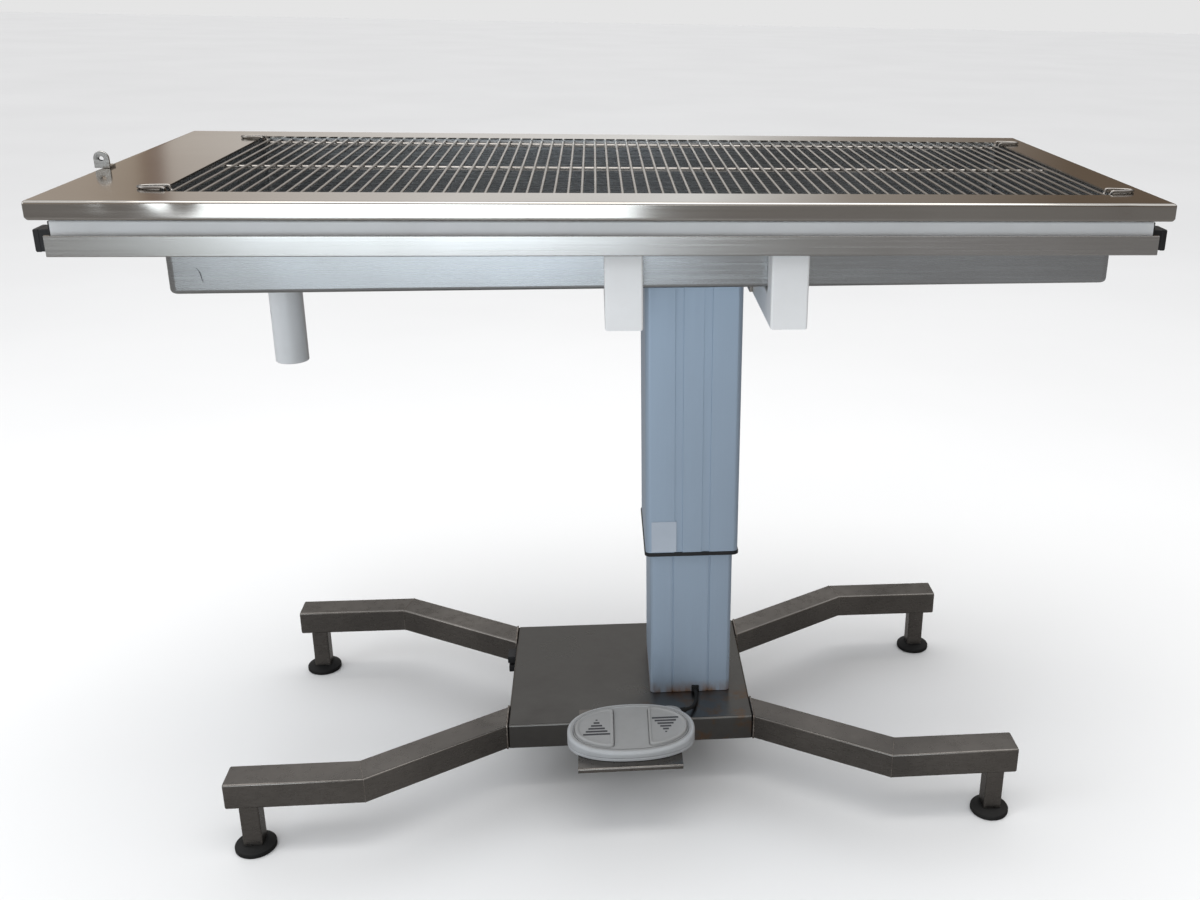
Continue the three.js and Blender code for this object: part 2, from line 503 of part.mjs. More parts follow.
function switchBracket() {
  const z = BASE_Z1 + GAP;
  const tray = block(TRAY_XS, TRAY_YS, [z, z + TRAY_T])
    .add(block(TRAY_XS, [TRAY_YS[0], TRAY_YS[0] + TRAY_T], [z + TRAY_T - TRAY_LIP, z + TRAY_T]));
  place(footSwitch, "switch_bracket", tray, steel);
}

// A point on the foot switch's oval, drawn in by inset, at an angle.
function ovalPoint(inset, angle) {
  const c = Math.cos(angle), s = Math.sin(angle);
  return [
    SW_X + (SW_A - inset) * Math.sign(c) * Math.abs(c) ** (2 / SW_POWER),
    SW_Y + (SW_B - inset) * Math.sign(s) * Math.abs(s) ** (2 / SW_POWER),
  ];
}

function oval(inset) {
  return Array.from({ length: SW_STEPS }, (_, i) => ovalPoint(inset, (2 * Math.PI * i) / SW_STEPS));
}

// The height of the switch's sloping top at a distance from the front.
function slopeAt(y) {
  return SW_FRONT_Z + ((SW_REAR_Z - SW_FRONT_Z) * (y - (SW_Y - SW_B))) / (2 * SW_B);
}

// The housing from a level up to its sloping top, drawn in by inset and sunk by sink, with the
// bulge at the cable entry.
function housingBody(inset, z0, sink) {
  const wall = oval(inset).flatMap(([x, y]) => [[x, y, z0], [x, y, SW_SHOULDER - sink]]);
  const crown = oval(inset + SW_BEVEL).map(([x, y]) => [x, y, slopeAt(y) - sink]);
  const bulgeTop = slopeAt(SW_BUMP_Y) - SW_BEVEL / 2 - sink;
  return hull([...wall, ...crown]).add(upright(SW_BUMP_R - inset, [z0, bulgeTop], SW_BUMP_X, SW_BUMP_Y));
}

// A pedal's D-shaped outline: the part of the drawn-in oval beyond the middle ridge.
function pedalOutline(side, inset) {
  const a = SW_A - PAD_MARGIN - inset, limit = Math.acos(((PAD_EDGE + inset) / a) ** (SW_POWER / 2));
  const turn = side < 0 ? Math.PI : 0;
  return Array.from({ length: PAD_STEPS + 1 }, (_, i) =>
    ovalPoint(PAD_MARGIN + inset, turn + limit * ((2 * i) / PAD_STEPS - 1)));
}

function pedal(name, side) {
  const foot = pedalOutline(side, PAD_SLOT).flatMap(([x, y]) =>
    [[x, y, slopeAt(y) - PAD_DEPTH], [x, y, slopeAt(y) + PAD_RISE / 2]]);
  const crown = pedalOutline(side, PAD_SLOT + PAD_BEVEL).map(([x, y]) => [x, y, slopeAt(y) + PAD_RISE]);
  place(footSwitch, name, hull([...foot, ...crown]), grey);
}

function switchHousing() {
  const everywhere = [-TOP_L, TOP_L];
  const lower = housingBody(0, SW_Z0, 0).intersect(block(everywhere, everywhere, [0, SW_SPLIT]))
    .subtract(housingBody(SW_WALL, SW_Z0 + SW_WALL, 0));
  place(footSwitch, "switch_base", lower, grey);
  let cover = housingBody(0, SW_SPLIT + GAP, 0).subtract(housingBody(SW_WALL, SW_Z0, SW_WALL));
  for (const side of [-1, 1]) {
    const slot = new THREE.Shape(pedalOutline(side, 0).map(([x, y]) => new THREE.Vector2(x, y)));
    cover = cover.subtract(raise(slot, [SW_SPLIT + SW_WALL, 2 * SW_REAR_Z]));
  }
  place(footSwitch, "switch_cover", cover, grey);
}

function switchBoard() {
  let board = block([SW_X - BOARD_HALF_X, SW_X + BOARD_HALF_X], [SW_Y - BOARD_HALF_Y, SW_Y + BOARD_HALF_Y],
    [BOARD_Z0, BOARD_Z0 + BOARD_T]);
  const buttonZs = [BOARD_Z0, BOARD_Z0 + BUTTON_H];
  for (const side of [-1, 1])
    board = board.add(upright(BUTTON_R, buttonZs, SW_X + side * BUTTON_X, SW_Y, SMALL_SIDES));
  place(footSwitch, "switch_board", board, grey);
}

function switchCable() {
  const section = new THREE.Shape();
  section.absarc(0, 0, CABLE_R, 0, 2 * Math.PI);
  const route = new THREE.CatmullRomCurve3(CABLE_PATH.map((p) => new THREE.Vector3(...p)));
  const run = new THREE.ExtrudeGeometry(section,
    { extrudePath: route, steps: CABLE_STEPS, curveSegments: CABLE_ARC_STEPS, bevelEnabled: false });
  place(footSwitch, "switch_cable", solid(run), black);
}

// The tapered strain relief on the switch's cable bulge, with the cable's socket in its tip.
function cableBoot() {
  const cone = (rTip, rRoot, length) => new THREE.CylinderGeometry(rTip, rRoot, length, ROUND_SIDES);
  const aimed = (rTip, rRoot, near, far) => solid(cone(rTip, rRoot, far - near)
    .translate(0, (near + far) / 2, 0)
    .rotateX(THREE.MathUtils.degToRad(-BOOT_TILT))
    .rotateZ(THREE.MathUtils.degToRad(BOOT_TURN - 90))
    .translate(SW_BUMP_X, SW_BUMP_Y, BOOT_Z));
  const hole = CABLE_R + GAP;
  const boot = aimed(BOOT_TIP_R, BOOT_ROOT_R, BOOT_NEAR, BOOT_FAR)
    .subtract(aimed(hole, hole, BOOT_FAR - BOOT_SOCKET, BOOT_FAR + TINY))
    .subtract(upright(SW_BUMP_R + GAP, [SW_Z0, 2 * SW_REAR_Z], SW_BUMP_X, SW_BUMP_Y));
  place(footSwitch, "cable_boot", boot, black);
}

function electricalFittings() {
  const face = IN_D / 2 + GAP, mid = GROMMET_Z0 + GROMMET_HALF;
  const grommet = easedBlock([GROMMET_X - GROMMET_HALF, GROMMET_X + GROMMET_HALF],
    span(face, face + GROMMET_T, -1), [mid - GROMMET_HALF, mid + GROMMET_HALF], GROMMET_C);
  const hole = alongY(CABLE_R + GAP, span(face + GROMMET_T / 2, face + 2 * GROMMET_T, -1), GROMMET_X, mid);
  place(footSwitch, "column_grommet", grommet.subtract(hole), black);
  place(base, "mains_inlet", easedBlock(span(BASE_HALF_X + GAP, BASE_HALF_X + INLET_L, -1), INLET_YS,
    INLET_ZS, BOX_C), black);
  place(base, "control_box", easedBlock(BOX_XS, BOX_YS, BOX_ZS, BOX_C), black);
}

topPan();
drainTub();
drainStrainer();
drainOutlet();
grate();
restraintLug();
for (const [end, side] of [["front", -1], ["rear", 1]]) {
  accessoryRail(`rail_${end}`, side);
  carrierTube(`carrier_tube_${end}`, side);
  endPlug(`end_plug_${end}_left`, -1, side);
  endPlug(`end_plug_${end}_right`, 1, side);
}
crossMember("cross_member_left", CROSS_X[0]);
crossMember("cross_member_right", CROSS_X[1]);
headBracket();
for (const [end, y] of [["front", -BOLT_Y], ["rear", BOLT_Y]]) {
  headBolt(`head_bolt_${end}_left`, -1, y);
  headBolt(`head_bolt_${end}_right`, 1, y);
}
liftingColumn();
columnDrive();
basePlate();
for (const [end, sy] of [["front", -1], ["rear", 1]])
  for (const [hand, sx] of [["left", -1], ["right", 1]]) {
    leg(`leg_${end}_${hand}`, sx, sy);
    legFoot(`${end}_${hand}`, sx, sy);
  }
switchBracket();
switchHousing();
pedal("pedal_up", -1);
pedal("pedal_down", 1);
switchBoard();
switchCable();
cableBoot();
electricalFittings();

export default group;
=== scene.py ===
import json
import math

import bmesh
import bpy
from mathutils import Matrix, Vector


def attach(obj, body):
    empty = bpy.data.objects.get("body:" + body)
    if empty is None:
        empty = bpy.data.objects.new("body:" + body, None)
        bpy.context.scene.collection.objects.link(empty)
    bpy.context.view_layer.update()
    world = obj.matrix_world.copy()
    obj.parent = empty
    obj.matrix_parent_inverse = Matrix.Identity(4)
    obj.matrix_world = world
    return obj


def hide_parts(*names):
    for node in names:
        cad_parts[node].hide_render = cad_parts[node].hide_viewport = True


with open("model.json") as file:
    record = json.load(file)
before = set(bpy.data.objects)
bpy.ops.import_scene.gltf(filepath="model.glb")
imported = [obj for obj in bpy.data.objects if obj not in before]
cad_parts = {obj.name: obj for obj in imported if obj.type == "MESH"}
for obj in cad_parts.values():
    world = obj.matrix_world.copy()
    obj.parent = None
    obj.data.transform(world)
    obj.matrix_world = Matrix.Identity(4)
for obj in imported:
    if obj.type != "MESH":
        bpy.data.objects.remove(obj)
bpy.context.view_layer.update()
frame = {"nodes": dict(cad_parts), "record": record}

# Millimetres throughout, turned into metres where a mesh is made, except where a comment says metres.
# +X runs along the table, -Y is the front and +Z is up.
MM = 0.001
scene = bpy.context.scene
scene.view_settings.view_transform = "Standard"


# ---- camera
SENSOR_W, LENS, LENS_SHIFT = 36, 37.14, (-0.1119, -0.0096)
# Metres; then degrees to the right of +Y, down from level, and rolled about the line of sight.
CAMERA_PLACE = (-0.037, -1.846, 1.2456)
CAMERA_YAW, CAMERA_PITCH, CAMERA_ROLL = 6.55, 20.67, 1.32


def aim_camera():
    data = bpy.data.cameras.new("camera")
    data.sensor_width, data.lens = SENSOR_W, LENS
    data.shift_x, data.shift_y = LENS_SHIFT
    data.clip_end = 100
    yaw, pitch, roll = (math.radians(a) for a in (CAMERA_YAW, CAMERA_PITCH, CAMERA_ROLL))
    level = Vector((math.cos(yaw), -math.sin(yaw), 0))
    ahead = Vector((math.sin(yaw) * math.cos(pitch), math.cos(yaw) * math.cos(pitch), -math.sin(pitch)))
    above = level.cross(ahead)
    right = math.cos(roll) * level + math.sin(roll) * above
    up = math.cos(roll) * above - math.sin(roll) * level
    turn = Matrix((right, up, -ahead)).transposed().to_4x4()
    camera = bpy.data.objects.new("camera", data)
    camera.matrix_world = Matrix.Translation(CAMERA_PLACE) @ turn
    scene.collection.objects.link(camera)
    scene.camera = camera


aim_camera()


# ---- materials
class Nodes:
    """A node tree with short calls for its nodes."""

    def __init__(self, tree, coords):
        self.tree = tree
        self.coords = self.add("TexCoord").outputs[coords]

    def add(self, kind):
        return self.tree.nodes.new("ShaderNode" + kind)

    def link(self, value, socket):
        if isinstance(value, bpy.types.NodeSocket):
            self.tree.links.new(value, socket)
        else:
            socket.default_value = value

    def noise(self, scale, detail=4, roughness=0.5):
        mapping = self.add("Mapping")
        mapping.inputs["Scale"].default_value = scale if hasattr(scale, "__len__") else (scale,) * 3
        texture = self.add("TexNoise")
        texture.inputs["Scale"].default_value = 1
        texture.inputs["Detail"].default_value = detail
        texture.inputs["Roughness"].default_value = roughness
        self.link(self.coords, mapping.inputs["Vector"])
        self.link(mapping.outputs[0], texture.inputs["Vector"])
        return texture.outputs["Fac"]

    def ranged(self, value, low, high, to_low=0, to_high=1):
        node = self.add("MapRange")
        for i, v in enumerate((value, low, high, to_low, to_high)):
            self.link(v, node.inputs[i])
        return node.outputs[0]

    def axis(self, name):
        node = self.add("SeparateXYZ")
        self.link(self.coords, node.inputs[0])
        return node.outputs[name]

    def times(self, a, b):
        node = self.add("Math")
        node.operation = "MULTIPLY"
        self.link(a, node.inputs[0])
        self.link(b, node.inputs[1])
        return node.outputs[0]

    def mix(self, amount, a, b, how="MIX"):
        node = self.add("Mix")
        node.data_type = "RGBA"
        node.blend_type = how
        sockets = {s.identifier: s for s in node.inputs}
        self.link(amount, sockets["Factor_Float"])
        self.link(a, sockets["A_Color"])
        self.link(b, sockets["B_Color"])
        return {s.identifier: s for s in node.outputs}["Result_Color"]

    def ramp(self, value, stops):
        node = self.add("ValToRGB")
        elements = node.color_ramp.elements
        while len(elements) < len(stops):
            elements.new(0.5)
        for element, (place, colour) in zip(elements, stops):
            element.position, element.color = place, rgb(*colour)
        self.link(value, node.inputs[0])
        return node.outputs[0]

    def seen_directly(self):
        return self.add("LightPath").outputs["Is Camera Ray"]


class Finish(Nodes):
    """A principled material; its textures are laid in the mesh's own metres."""

    def __init__(self, name, metallic, roughness):
        self.material = bpy.data.materials.new(name)
        self.material.use_nodes = True
        super().__init__(self.material.node_tree, "Object")
        self.shader = self.tree.nodes["Principled BSDF"]
        self.shader.inputs["Metallic"].default_value = metallic
        self.shader.inputs["Roughness"].default_value = roughness

    def bump(self, height, strength, distance):
        node = self.add("Bump")
        node.inputs["Strength"].default_value = strength
        node.inputs["Distance"].default_value = distance
        self.link(height, node.inputs["Height"])
        self.link(node.outputs[0], self.shader.inputs["Normal"])

    def done(self, colour, roughness=None):
        self.link(colour, self.shader.inputs["Base Color"])
        if roughness is not None:
            self.link(roughness, self.shader.inputs["Roughness"])
        return self.material


def rgb(r, g, b):
    return (r, g, b, 1)


def brushed(name, base, tint, roughness, grain, strength=0.05, patch=5, marks=0.0, depth=0.1):
    """Brushed metal: fine streaks along the axis where grain is smallest, over broad patches of tint."""
    n = Finish(name, 1, roughness)
    streaks = n.noise(grain, 5, 0.6)
    patches = n.ranged(n.noise(patch, 3), 0.35, 0.65)
    colour = n.mix(patches, rgb(*base), rgb(*tint))
    shade = n.mix(n.ranged(streaks, 0.3, 0.7), rgb(1 - depth, 1 - depth, 1 - depth), rgb(1, 1, 1))
    colour = n.mix(1, colour, shade, "MULTIPLY")
    if marks:
        smudge = n.ranged(n.noise(38, 6, 0.7), 0.6, 0.75, 0, marks)
        colour = n.mix(smudge, colour, rgb(*(c * 0.55 for c in base)))
    n.bump(streaks, strength, 0.0005)
    return n.done(colour, n.ranged(streaks, 0.25, 0.75, roughness * 0.8, roughness * 1.3))


def painted(name, base, tint, roughness, peel=420, strength=0.06, gloss=0.5):
    """Powder coat or moulded plastic: a fine orange peel, and faint patches that are a little duller."""
    n = Finish(name, 0, roughness)
    fine = n.noise(peel, 4, 0.6)
    patches = n.ranged(n.noise(9, 5, 0.6), 0.38, 0.68)
    n.shader.inputs["Specular IOR Level"].default_value = gloss
    n.bump(fine, strength, 0.0006)
    colour = n.mix(patches, rgb(*base), rgb(*tint))
    return n.done(colour, n.ranged(patches, 0, 1, roughness, roughness + 0.12))


# Metres: the rust on the column fades in from the first level to the second, and on the base plate
# it fades in towards the front and to the right.
FOOT_RUST_ZS, PLATE_RUST_XS, PLATE_RUST_YS = (0.150, 0.129), (0.0, 0.06), (-0.02, -0.12)
RUST, PLATE_RUST = (0.23, 0.12, 0.05), (0.16, 0.085, 0.04)


def anodised(name, base, tint):
    """Anodised aluminium with drawn lines up the profile and a faint rust stain at the column's foot."""
    n = Finish(name, 0.55, 0.42)
    lines = n.noise((260, 260, 3), 5, 0.6)
    patches = n.ranged(n.noise((5, 5, 2), 3), 0.35, 0.65)
    colour = n.mix(patches, rgb(*base), rgb(*tint))
    foot = n.ranged(n.axis("Z"), *FOOT_RUST_ZS)
    stain = n.times(foot, n.ranged(n.noise((60, 60, 20), 5, 0.6), 0.35, 0.6, 0.15, 0.9))
    colour = n.mix(stain, colour, rgb(*RUST))
    n.bump(lines, 0.04, 0.0005)
    return n.done(colour, n.ranged(lines, 0.3, 0.7, 0.36, 0.5))


def floor_steel(name):
    """The base plate: dull rolled sheet with broad stains, and rust spots in front of the column."""
    n = Finish(name, 1, 0.3)
    grain = n.noise((6, 240, 240), 5, 0.6)
    patches = n.ranged(n.noise(7, 5, 0.6), 0.35, 0.68)
    colour = n.mix(patches, rgb(0.13, 0.127, 0.12), rgb(0.095, 0.09, 0.085))
    near = n.ranged(n.axis("Y"), *PLATE_RUST_YS)
    right = n.ranged(n.axis("X"), *PLATE_RUST_XS)
    rust = n.times(n.times(near, right), n.ranged(n.noise(34, 6, 0.65), 0.5, 0.66, 0, 0.7))
    colour = n.mix(rust, colour, rgb(*PLATE_RUST))
    n.bump(grain, 0.04, 0.0005)
    return n.done(colour, n.ranged(patches, 0, 1, 0.26, 0.4))


LOOKS = {
    "sheet_steel": brushed(
        "top_steel", (0.46, 0.44, 0.41), (0.39, 0.36, 0.33), 0.1, (5, 320, 320), 0.012, 3, 0.12, 0.05),
    "tub": brushed(
        "tub_steel", (0.43, 0.445, 0.46), (0.34, 0.345, 0.345), 0.25, (6, 420, 420), 0.006, 3, 0.25, 0.03),
    "leg_steel": brushed(
        "leg_steel", (0.205, 0.19, 0.175), (0.145, 0.135, 0.125), 0.28, (60, 60, 300), 0.06, 7, 0.3),
    "rail_steel": brushed(
        "rail_steel", (0.49, 0.48, 0.47), (0.40, 0.39, 0.37), 0.23, (4, 300, 420), 0.012, 3, 0.1, 0.05),
    "grate_wire": brushed(
        "grate_wire", (0.32, 0.30, 0.28), (0.24, 0.22, 0.20), 0.22, (300, 8, 300), 0.04, 12),
    "bright_steel": brushed(
        "bright_steel", (0.5, 0.5, 0.5), (0.4, 0.4, 0.4), 0.25, (200, 200, 20), 0.03, 20),
    "base_plate": floor_steel("base_steel"),
    "weld": brushed("weld_steel", (0.36, 0.33, 0.3), (0.2, 0.17, 0.15), 0.45, (500, 500, 500), 0.3, 60),
    "white_powder_coat": painted(
        "white_powder_coat", (0.88, 0.89, 0.90), (0.83, 0.835, 0.84), 0.34, 380, 0.05),
    "white_pvc": painted("white_pvc", (0.78, 0.80, 0.82), (0.70, 0.71, 0.72), 0.28, 120, 0.03),
    "anodised_alloy": anodised("anodised_alloy", (0.40, 0.50, 0.62), (0.36, 0.445, 0.55)),
    "black_plastic": painted(
        "black_plastic", (0.012, 0.012, 0.013), (0.022, 0.022, 0.023), 0.42, 700, 0.1, 0.3),
    "black_rubber": painted(
        "black_rubber", (0.009, 0.009, 0.009), (0.02, 0.019, 0.018), 0.62, 900, 0.18, 0.2),
    "grey_plastic": painted("grey_plastic", (0.40, 0.415, 0.43), (0.35, 0.355, 0.36), 0.42, 1300, 0.12),
    "deck_plastic": painted("deck_plastic", (0.315, 0.315, 0.315), (0.28, 0.28, 0.275), 0.5, 1300, 0.2),
    "pedal_plastic": painted(
        "pedal_plastic", (0.315, 0.315, 0.315), (0.28, 0.28, 0.275), 0.5, 1300, 0.2),
    # The tub scratch's dark colour, also used as painted shade for the shaded slots of the pedals' arrows.
    "scratch_and_painted_slot_shade": painted("dark_scratch_and_painted_slot_shade", (0.03, 0.03, 0.035), (0.05, 0.05, 0.055), 0.5, 1500, 0.1),
    "label_film": painted("label_film", (0.46, 0.52, 0.60), (0.52, 0.58, 0.66), 0.3, 300, 0.02),
    "glide_plastic": painted("glide_plastic", (0.6, 0.6, 0.56), (0.5, 0.5, 0.46), 0.4, 600, 0.05),
    "motor_paint": painted("motor_paint", (0.03, 0.03, 0.035), (0.05, 0.05, 0.05), 0.4, 500, 0.1),
    "circuit_board": painted("circuit_board", (0.02, 0.12, 0.05), (0.03, 0.16, 0.07), 0.35, 250, 0.05),
}


# ---- mesh helpers
def join(*parts):
    """Several (points, faces) pairs as one."""
    points, faces = [], []
    for more_points, more_faces in parts:
        start = len(points)
        points += more_points
        faces += [tuple(i + start for i in face) for face in more_faces]
    return points, faces


def make(name, shape, body, look, node=None, sharp=32):
    """A mesh piece from (points, faces) in millimetres, shown in place of the CAD part called node."""
    points, faces = shape
    mesh = bpy.data.meshes.new(name)
    mesh.from_pydata([[c * MM for c in p] for p in points], [], faces)
    work = bmesh.new()
    work.from_mesh(mesh)
    bmesh.ops.remove_doubles(work, verts=work.verts, dist=1e-6)
    bmesh.ops.recalc_face_normals(work, faces=work.faces)
    work.to_mesh(mesh)
    work.free()
    mesh.polygons.foreach_set("use_smooth", [True] * len(mesh.polygons))
    mesh.set_sharp_from_angle(angle=math.radians(sharp))
    mesh.materials.append(LOOKS[look])
    piece = bpy.data.objects.new(name, mesh)
    scene.collection.objects.link(piece)
    piece.modifiers.new("normals", "WEIGHTED_NORMAL").keep_sharp = True
    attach(piece, body)
    if node:
        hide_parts(node)
    return piece


def loft(rings, closed=False):
    """Rings of equally many points joined by quads, capped at both ends or closed on themselves."""
    count = len(rings[0])
    points = [tuple(p) for ring in rings for p in ring]
    pairs = list(zip(range(len(rings) - 1), range(1, len(rings))))
    if closed:
        pairs.append((len(rings) - 1, 0))
    faces = [
        (a * count + i, a * count + (i + 1) % count, b * count + (i + 1) % count, b * count + i)
        for a, b in pairs
        for i in range(count)
    ]
    if not closed:
        faces.append(tuple(range(count))[::-1])
        faces.append(tuple((len(rings) - 1) * count + i for i in range(count)))
    return points, faces


def rect(w, h, r, steps=5, along_w=1, along_h=1):
    """A rounded rectangle round the origin, its straight sides cut into equal lengths."""
    outline = []
    corners = [(1, 1), (-1, 1), (-1, -1), (1, -1)]
    for i, (sx, sy) in enumerate(corners):
        centre = (sx * (w / 2 - r), sy * (h / 2 - r))
        start = i * math.pi / 2
        for k in range(steps + 1):
            a = start + k * math.pi / 2 / steps
            outline.append((centre[0] + r * math.cos(a), centre[1] + r * math.sin(a)))
        cuts = along_w if i % 2 == 0 else along_h
        nx, ny = corners[(i + 1) % 4]
        there = (nx * (w / 2 - r), ny * (h / 2 - r))
        a = start + math.pi / 2
        for k in range(1, cuts):
            t = k / cuts
            outline.append((centre[0] + (there[0] - centre[0]) * t + r * math.cos(a),
                            centre[1] + (there[1] - centre[1]) * t + r * math.sin(a)))
    return outline


def sweep(path, outline, side):
    """An outline carried along a flat path with mitred corners; u runs along side."""
    path, side = [Vector(p) for p in path], Vector(side)
    rings = []
    for i, p in enumerate(path):
        ahead = (path[min(i + 1, len(path) - 1)] - path[min(i, len(path) - 2)]).normalized()
        behind = (path[max(i, 1)] - path[max(i - 1, 0)]).normalized()
        across = (ahead + behind).normalized().cross(side).normalized()
        stretch = 1 / across.dot(behind.cross(side).normalized())
        rings.append([p + side * u + across * v * stretch for u, v in outline])
    return loft(rings)


def turns_of(count):
    """Equal steps of angle round a full turn."""
    return [2 * math.pi * k / count for k in range(count)]


def wire(path, radius, sides=12, closed=False):
    """A round wire along points; radius is one number, or one for each point."""
    path = [Vector(p) for p in path]
    last = len(path) - 1
    radii = radius if hasattr(radius, "__len__") else [radius] * len(path)
    normal = None
    rings = []
    for i, p in enumerate(path):
        before = path[i - 1] if i or closed else p
        after = path[(i + 1) % len(path)] if i < last or closed else p
        along = (after - before).normalized()
        if normal is None:
            normal = along.orthogonal().normalized()
        normal = (normal - along * normal.dot(along)).normalized()
        across = along.cross(normal)
        spokes = [math.cos(a) * normal + math.sin(a) * across for a in turns_of(sides)]
        rings.append([p + radii[i] * spoke for spoke in spokes])
    return loft(rings, closed)


def lathe(profile, centre, sides=48, closed=False):
    """(radius, height) pairs turned about the upright line through centre."""
    x, y = centre
    turns = turns_of(sides)
    return loft([[(x + r * math.cos(a), y + r * math.sin(a), z) for a in turns] for r, z in profile], closed)


def arc(centre, radius, start, end, steps):
    """Points on an arc in a plane, the angles in degrees."""
    angles = [math.radians(start + (end - start) * i / steps) for i in range(steps + 1)]
    return [(centre[0] + radius * math.cos(a), centre[1] + radius * math.sin(a)) for a in angles]


def slab(xs, ys, zs, r, steps=3):
    """A block with rounded upright edges and eased upper and lower rims."""
    cx, cy = sum(xs) / 2, sum(ys) / 2
    w, d = xs[1] - xs[0], ys[1] - ys[0]
    rings = []
    for z, turn in ((zs[0], -1), (zs[1], 1)):
        levels = []
        for k in range(steps + 1):
            a = k * math.pi / 2 / steps
            inset, rise = r * (1 - math.cos(a)), r * (1 - math.sin(a))
            levels.append((inset, z - turn * rise))
        for inset, level in levels if turn > 0 else levels[::-1]:
            outline = rect(w - 2 * inset, d - 2 * inset, max(r - inset, r * 0.15), 4)
            rings.append([(cx + u, cy + v, level) for u, v in outline])
    return loft(rings)


def smooth_path(points, count):
    """A Catmull-Rom curve through points, resampled at equal distances."""
    points = [Vector(p) for p in points]
    ends = [2 * points[0] - points[1], *points, 2 * points[-1] - points[-2]]
    dense = []
    for i in range(1, len(ends) - 2):
        a, b, c, d = ends[i - 1:i + 3]
        for k in range(16):
            t = k / 16
            dense.append(0.5 * (2 * b + (c - a) * t + (2 * a - 5 * b + 4 * c - d) * t ** 2
                                + (3 * b - a - 3 * c + d) * t ** 3))
    dense.append(points[-1])
    lengths = [0]
    for p, q in zip(dense, dense[1:]):
        lengths.append(lengths[-1] + (q - p).length)
    out, j = [], 0
    for k in range(count):
        want = lengths[-1] * k / (count - 1)
        while j < len(dense) - 2 and lengths[j + 1] < want:
            j += 1
        t = (want - lengths[j]) / (lengths[j + 1] - lengths[j])
        out.append(dense[j].lerp(dense[j + 1], min(t, 1)))
    return out


# ---- the foot switch's cable
CABLE_R = 3
CABLE_ROUTE = [
    (110, -82.9, 135), (110, -87.5, 135), (110.6, -95, 134.6), (110.2, -106, 133.3),
    (107.5, -120, 133), (103, -133, 134.6), (97.5, -143, 137.4), (92, -149, 139.7),
    (88.4, -151.8, 140.4), (85.5, -153.9, 140.9),
]
GROMMET_XS, GROMMET_YS, GROMMET_ZS = (104, 116), (-84.8, -80.3), (129, 141)
GROMMET_COLLAR = [(-84.3, 4.6), (-86.2, 4.3), (-86.6, 3.9)]
# The round bulge at the back of the switch, and the strain relief that leaves it: how far it is
# turned to the back and dips, in degrees, where it starts and how long it is.
BULGE, BOOT_Z, BOOT_TURN, BOOT_DIP = (62, -171), 145, 36, 8
BOOT_START, BOOT_L, BOOT_R, BOOT_TAPER, BOOT_GROOVE, BOOT_ROWS = 19.5, 13.6, 5.7, 1.5, 0.35, 36


def cable_boot():
    """The strain relief: a taper with shallow grooves round it and an eased tip."""
    root = Vector((*BULGE, BOOT_Z))
    turn, dip = math.radians(BOOT_TURN), math.radians(BOOT_DIP)
    aim = Vector((math.cos(turn), math.sin(turn), -math.tan(dip))).normalized()
    spots, radii = [], []
    for k in range(BOOT_ROWS + 1):
        t = k / BOOT_ROWS
        groove = BOOT_GROOVE if (k // 3) % 2 and 4 < k < BOOT_ROWS - 3 else 0
        tip = 0.5 if k == BOOT_ROWS else 0
        spots.append(root + aim * (BOOT_START + BOOT_L * t))
        radii.append(BOOT_R - BOOT_TAPER * t - groove - tip)
    shape = wire(spots, radii, 20)
    return make("cable_boot_ribbed", shape, "base", "black_rubber", "cable_boot")


def cable_grommet():
    """The grommet at the column's foot: a block with a short collar round the cable."""
    x, _, z = CABLE_ROUTE[0]
    block = slab(GROMMET_XS, GROMMET_YS, GROMMET_ZS, 1)
    collar = wire([(x, y, z) for y, _ in GROMMET_COLLAR], [r for _, r in GROMMET_COLLAR], 20)
    return make("cable_grommet", join(block, collar), "base", "black_rubber", "column_grommet")


def switch_cable():
    path = smooth_path(CABLE_ROUTE, 30)
    cable = make("foot_switch_cable", wire(path, CABLE_R, 16), "base", "black_rubber", "switch_cable")
    held_by = [cable_boot(), cable_grommet()]


# ---- the top
TOP_L, TOP_W, TOP_Z, SHEET = 1400, 665, 980, 2
LIP_H, LIP_RETURN, EDGE_R, HEM_R, LIP_NOTCH, NOTCH_SLOPE = 23, 22, 4, 2.2, 10, 0.9
LIP_LEVELS, LIP_LEVELS_INSIDE = (972, 967, 962), (966, 972)
TUB_X, TUB_Y, TUB_ZS = (-572, 648), 268, (851.5, 861.5)
TUB_CORNER, TUB_BOTTOM_R = 10, 6
# Dents in the front lip: place along it, height, depth and width.
DENTS, DENT_H = [(-606, 974, 0.7, 16), (-535, 976, 0.7, 20), (634, 974, 0.9, 14)], 8
SCRATCH, SCRATCH_R, SCRATCH_POINTS = [(-535, 886), (-531, 880), (-529.5, 872), (-527, 866)], 0.5, 12


def lip_dent(x, z):
    """How far the front lip is knocked in at a point."""
    return sum(d * math.exp(-((x - cx) / w) ** 2 - ((z - cz) / DENT_H) ** 2) for cx, cz, d, w in DENTS)


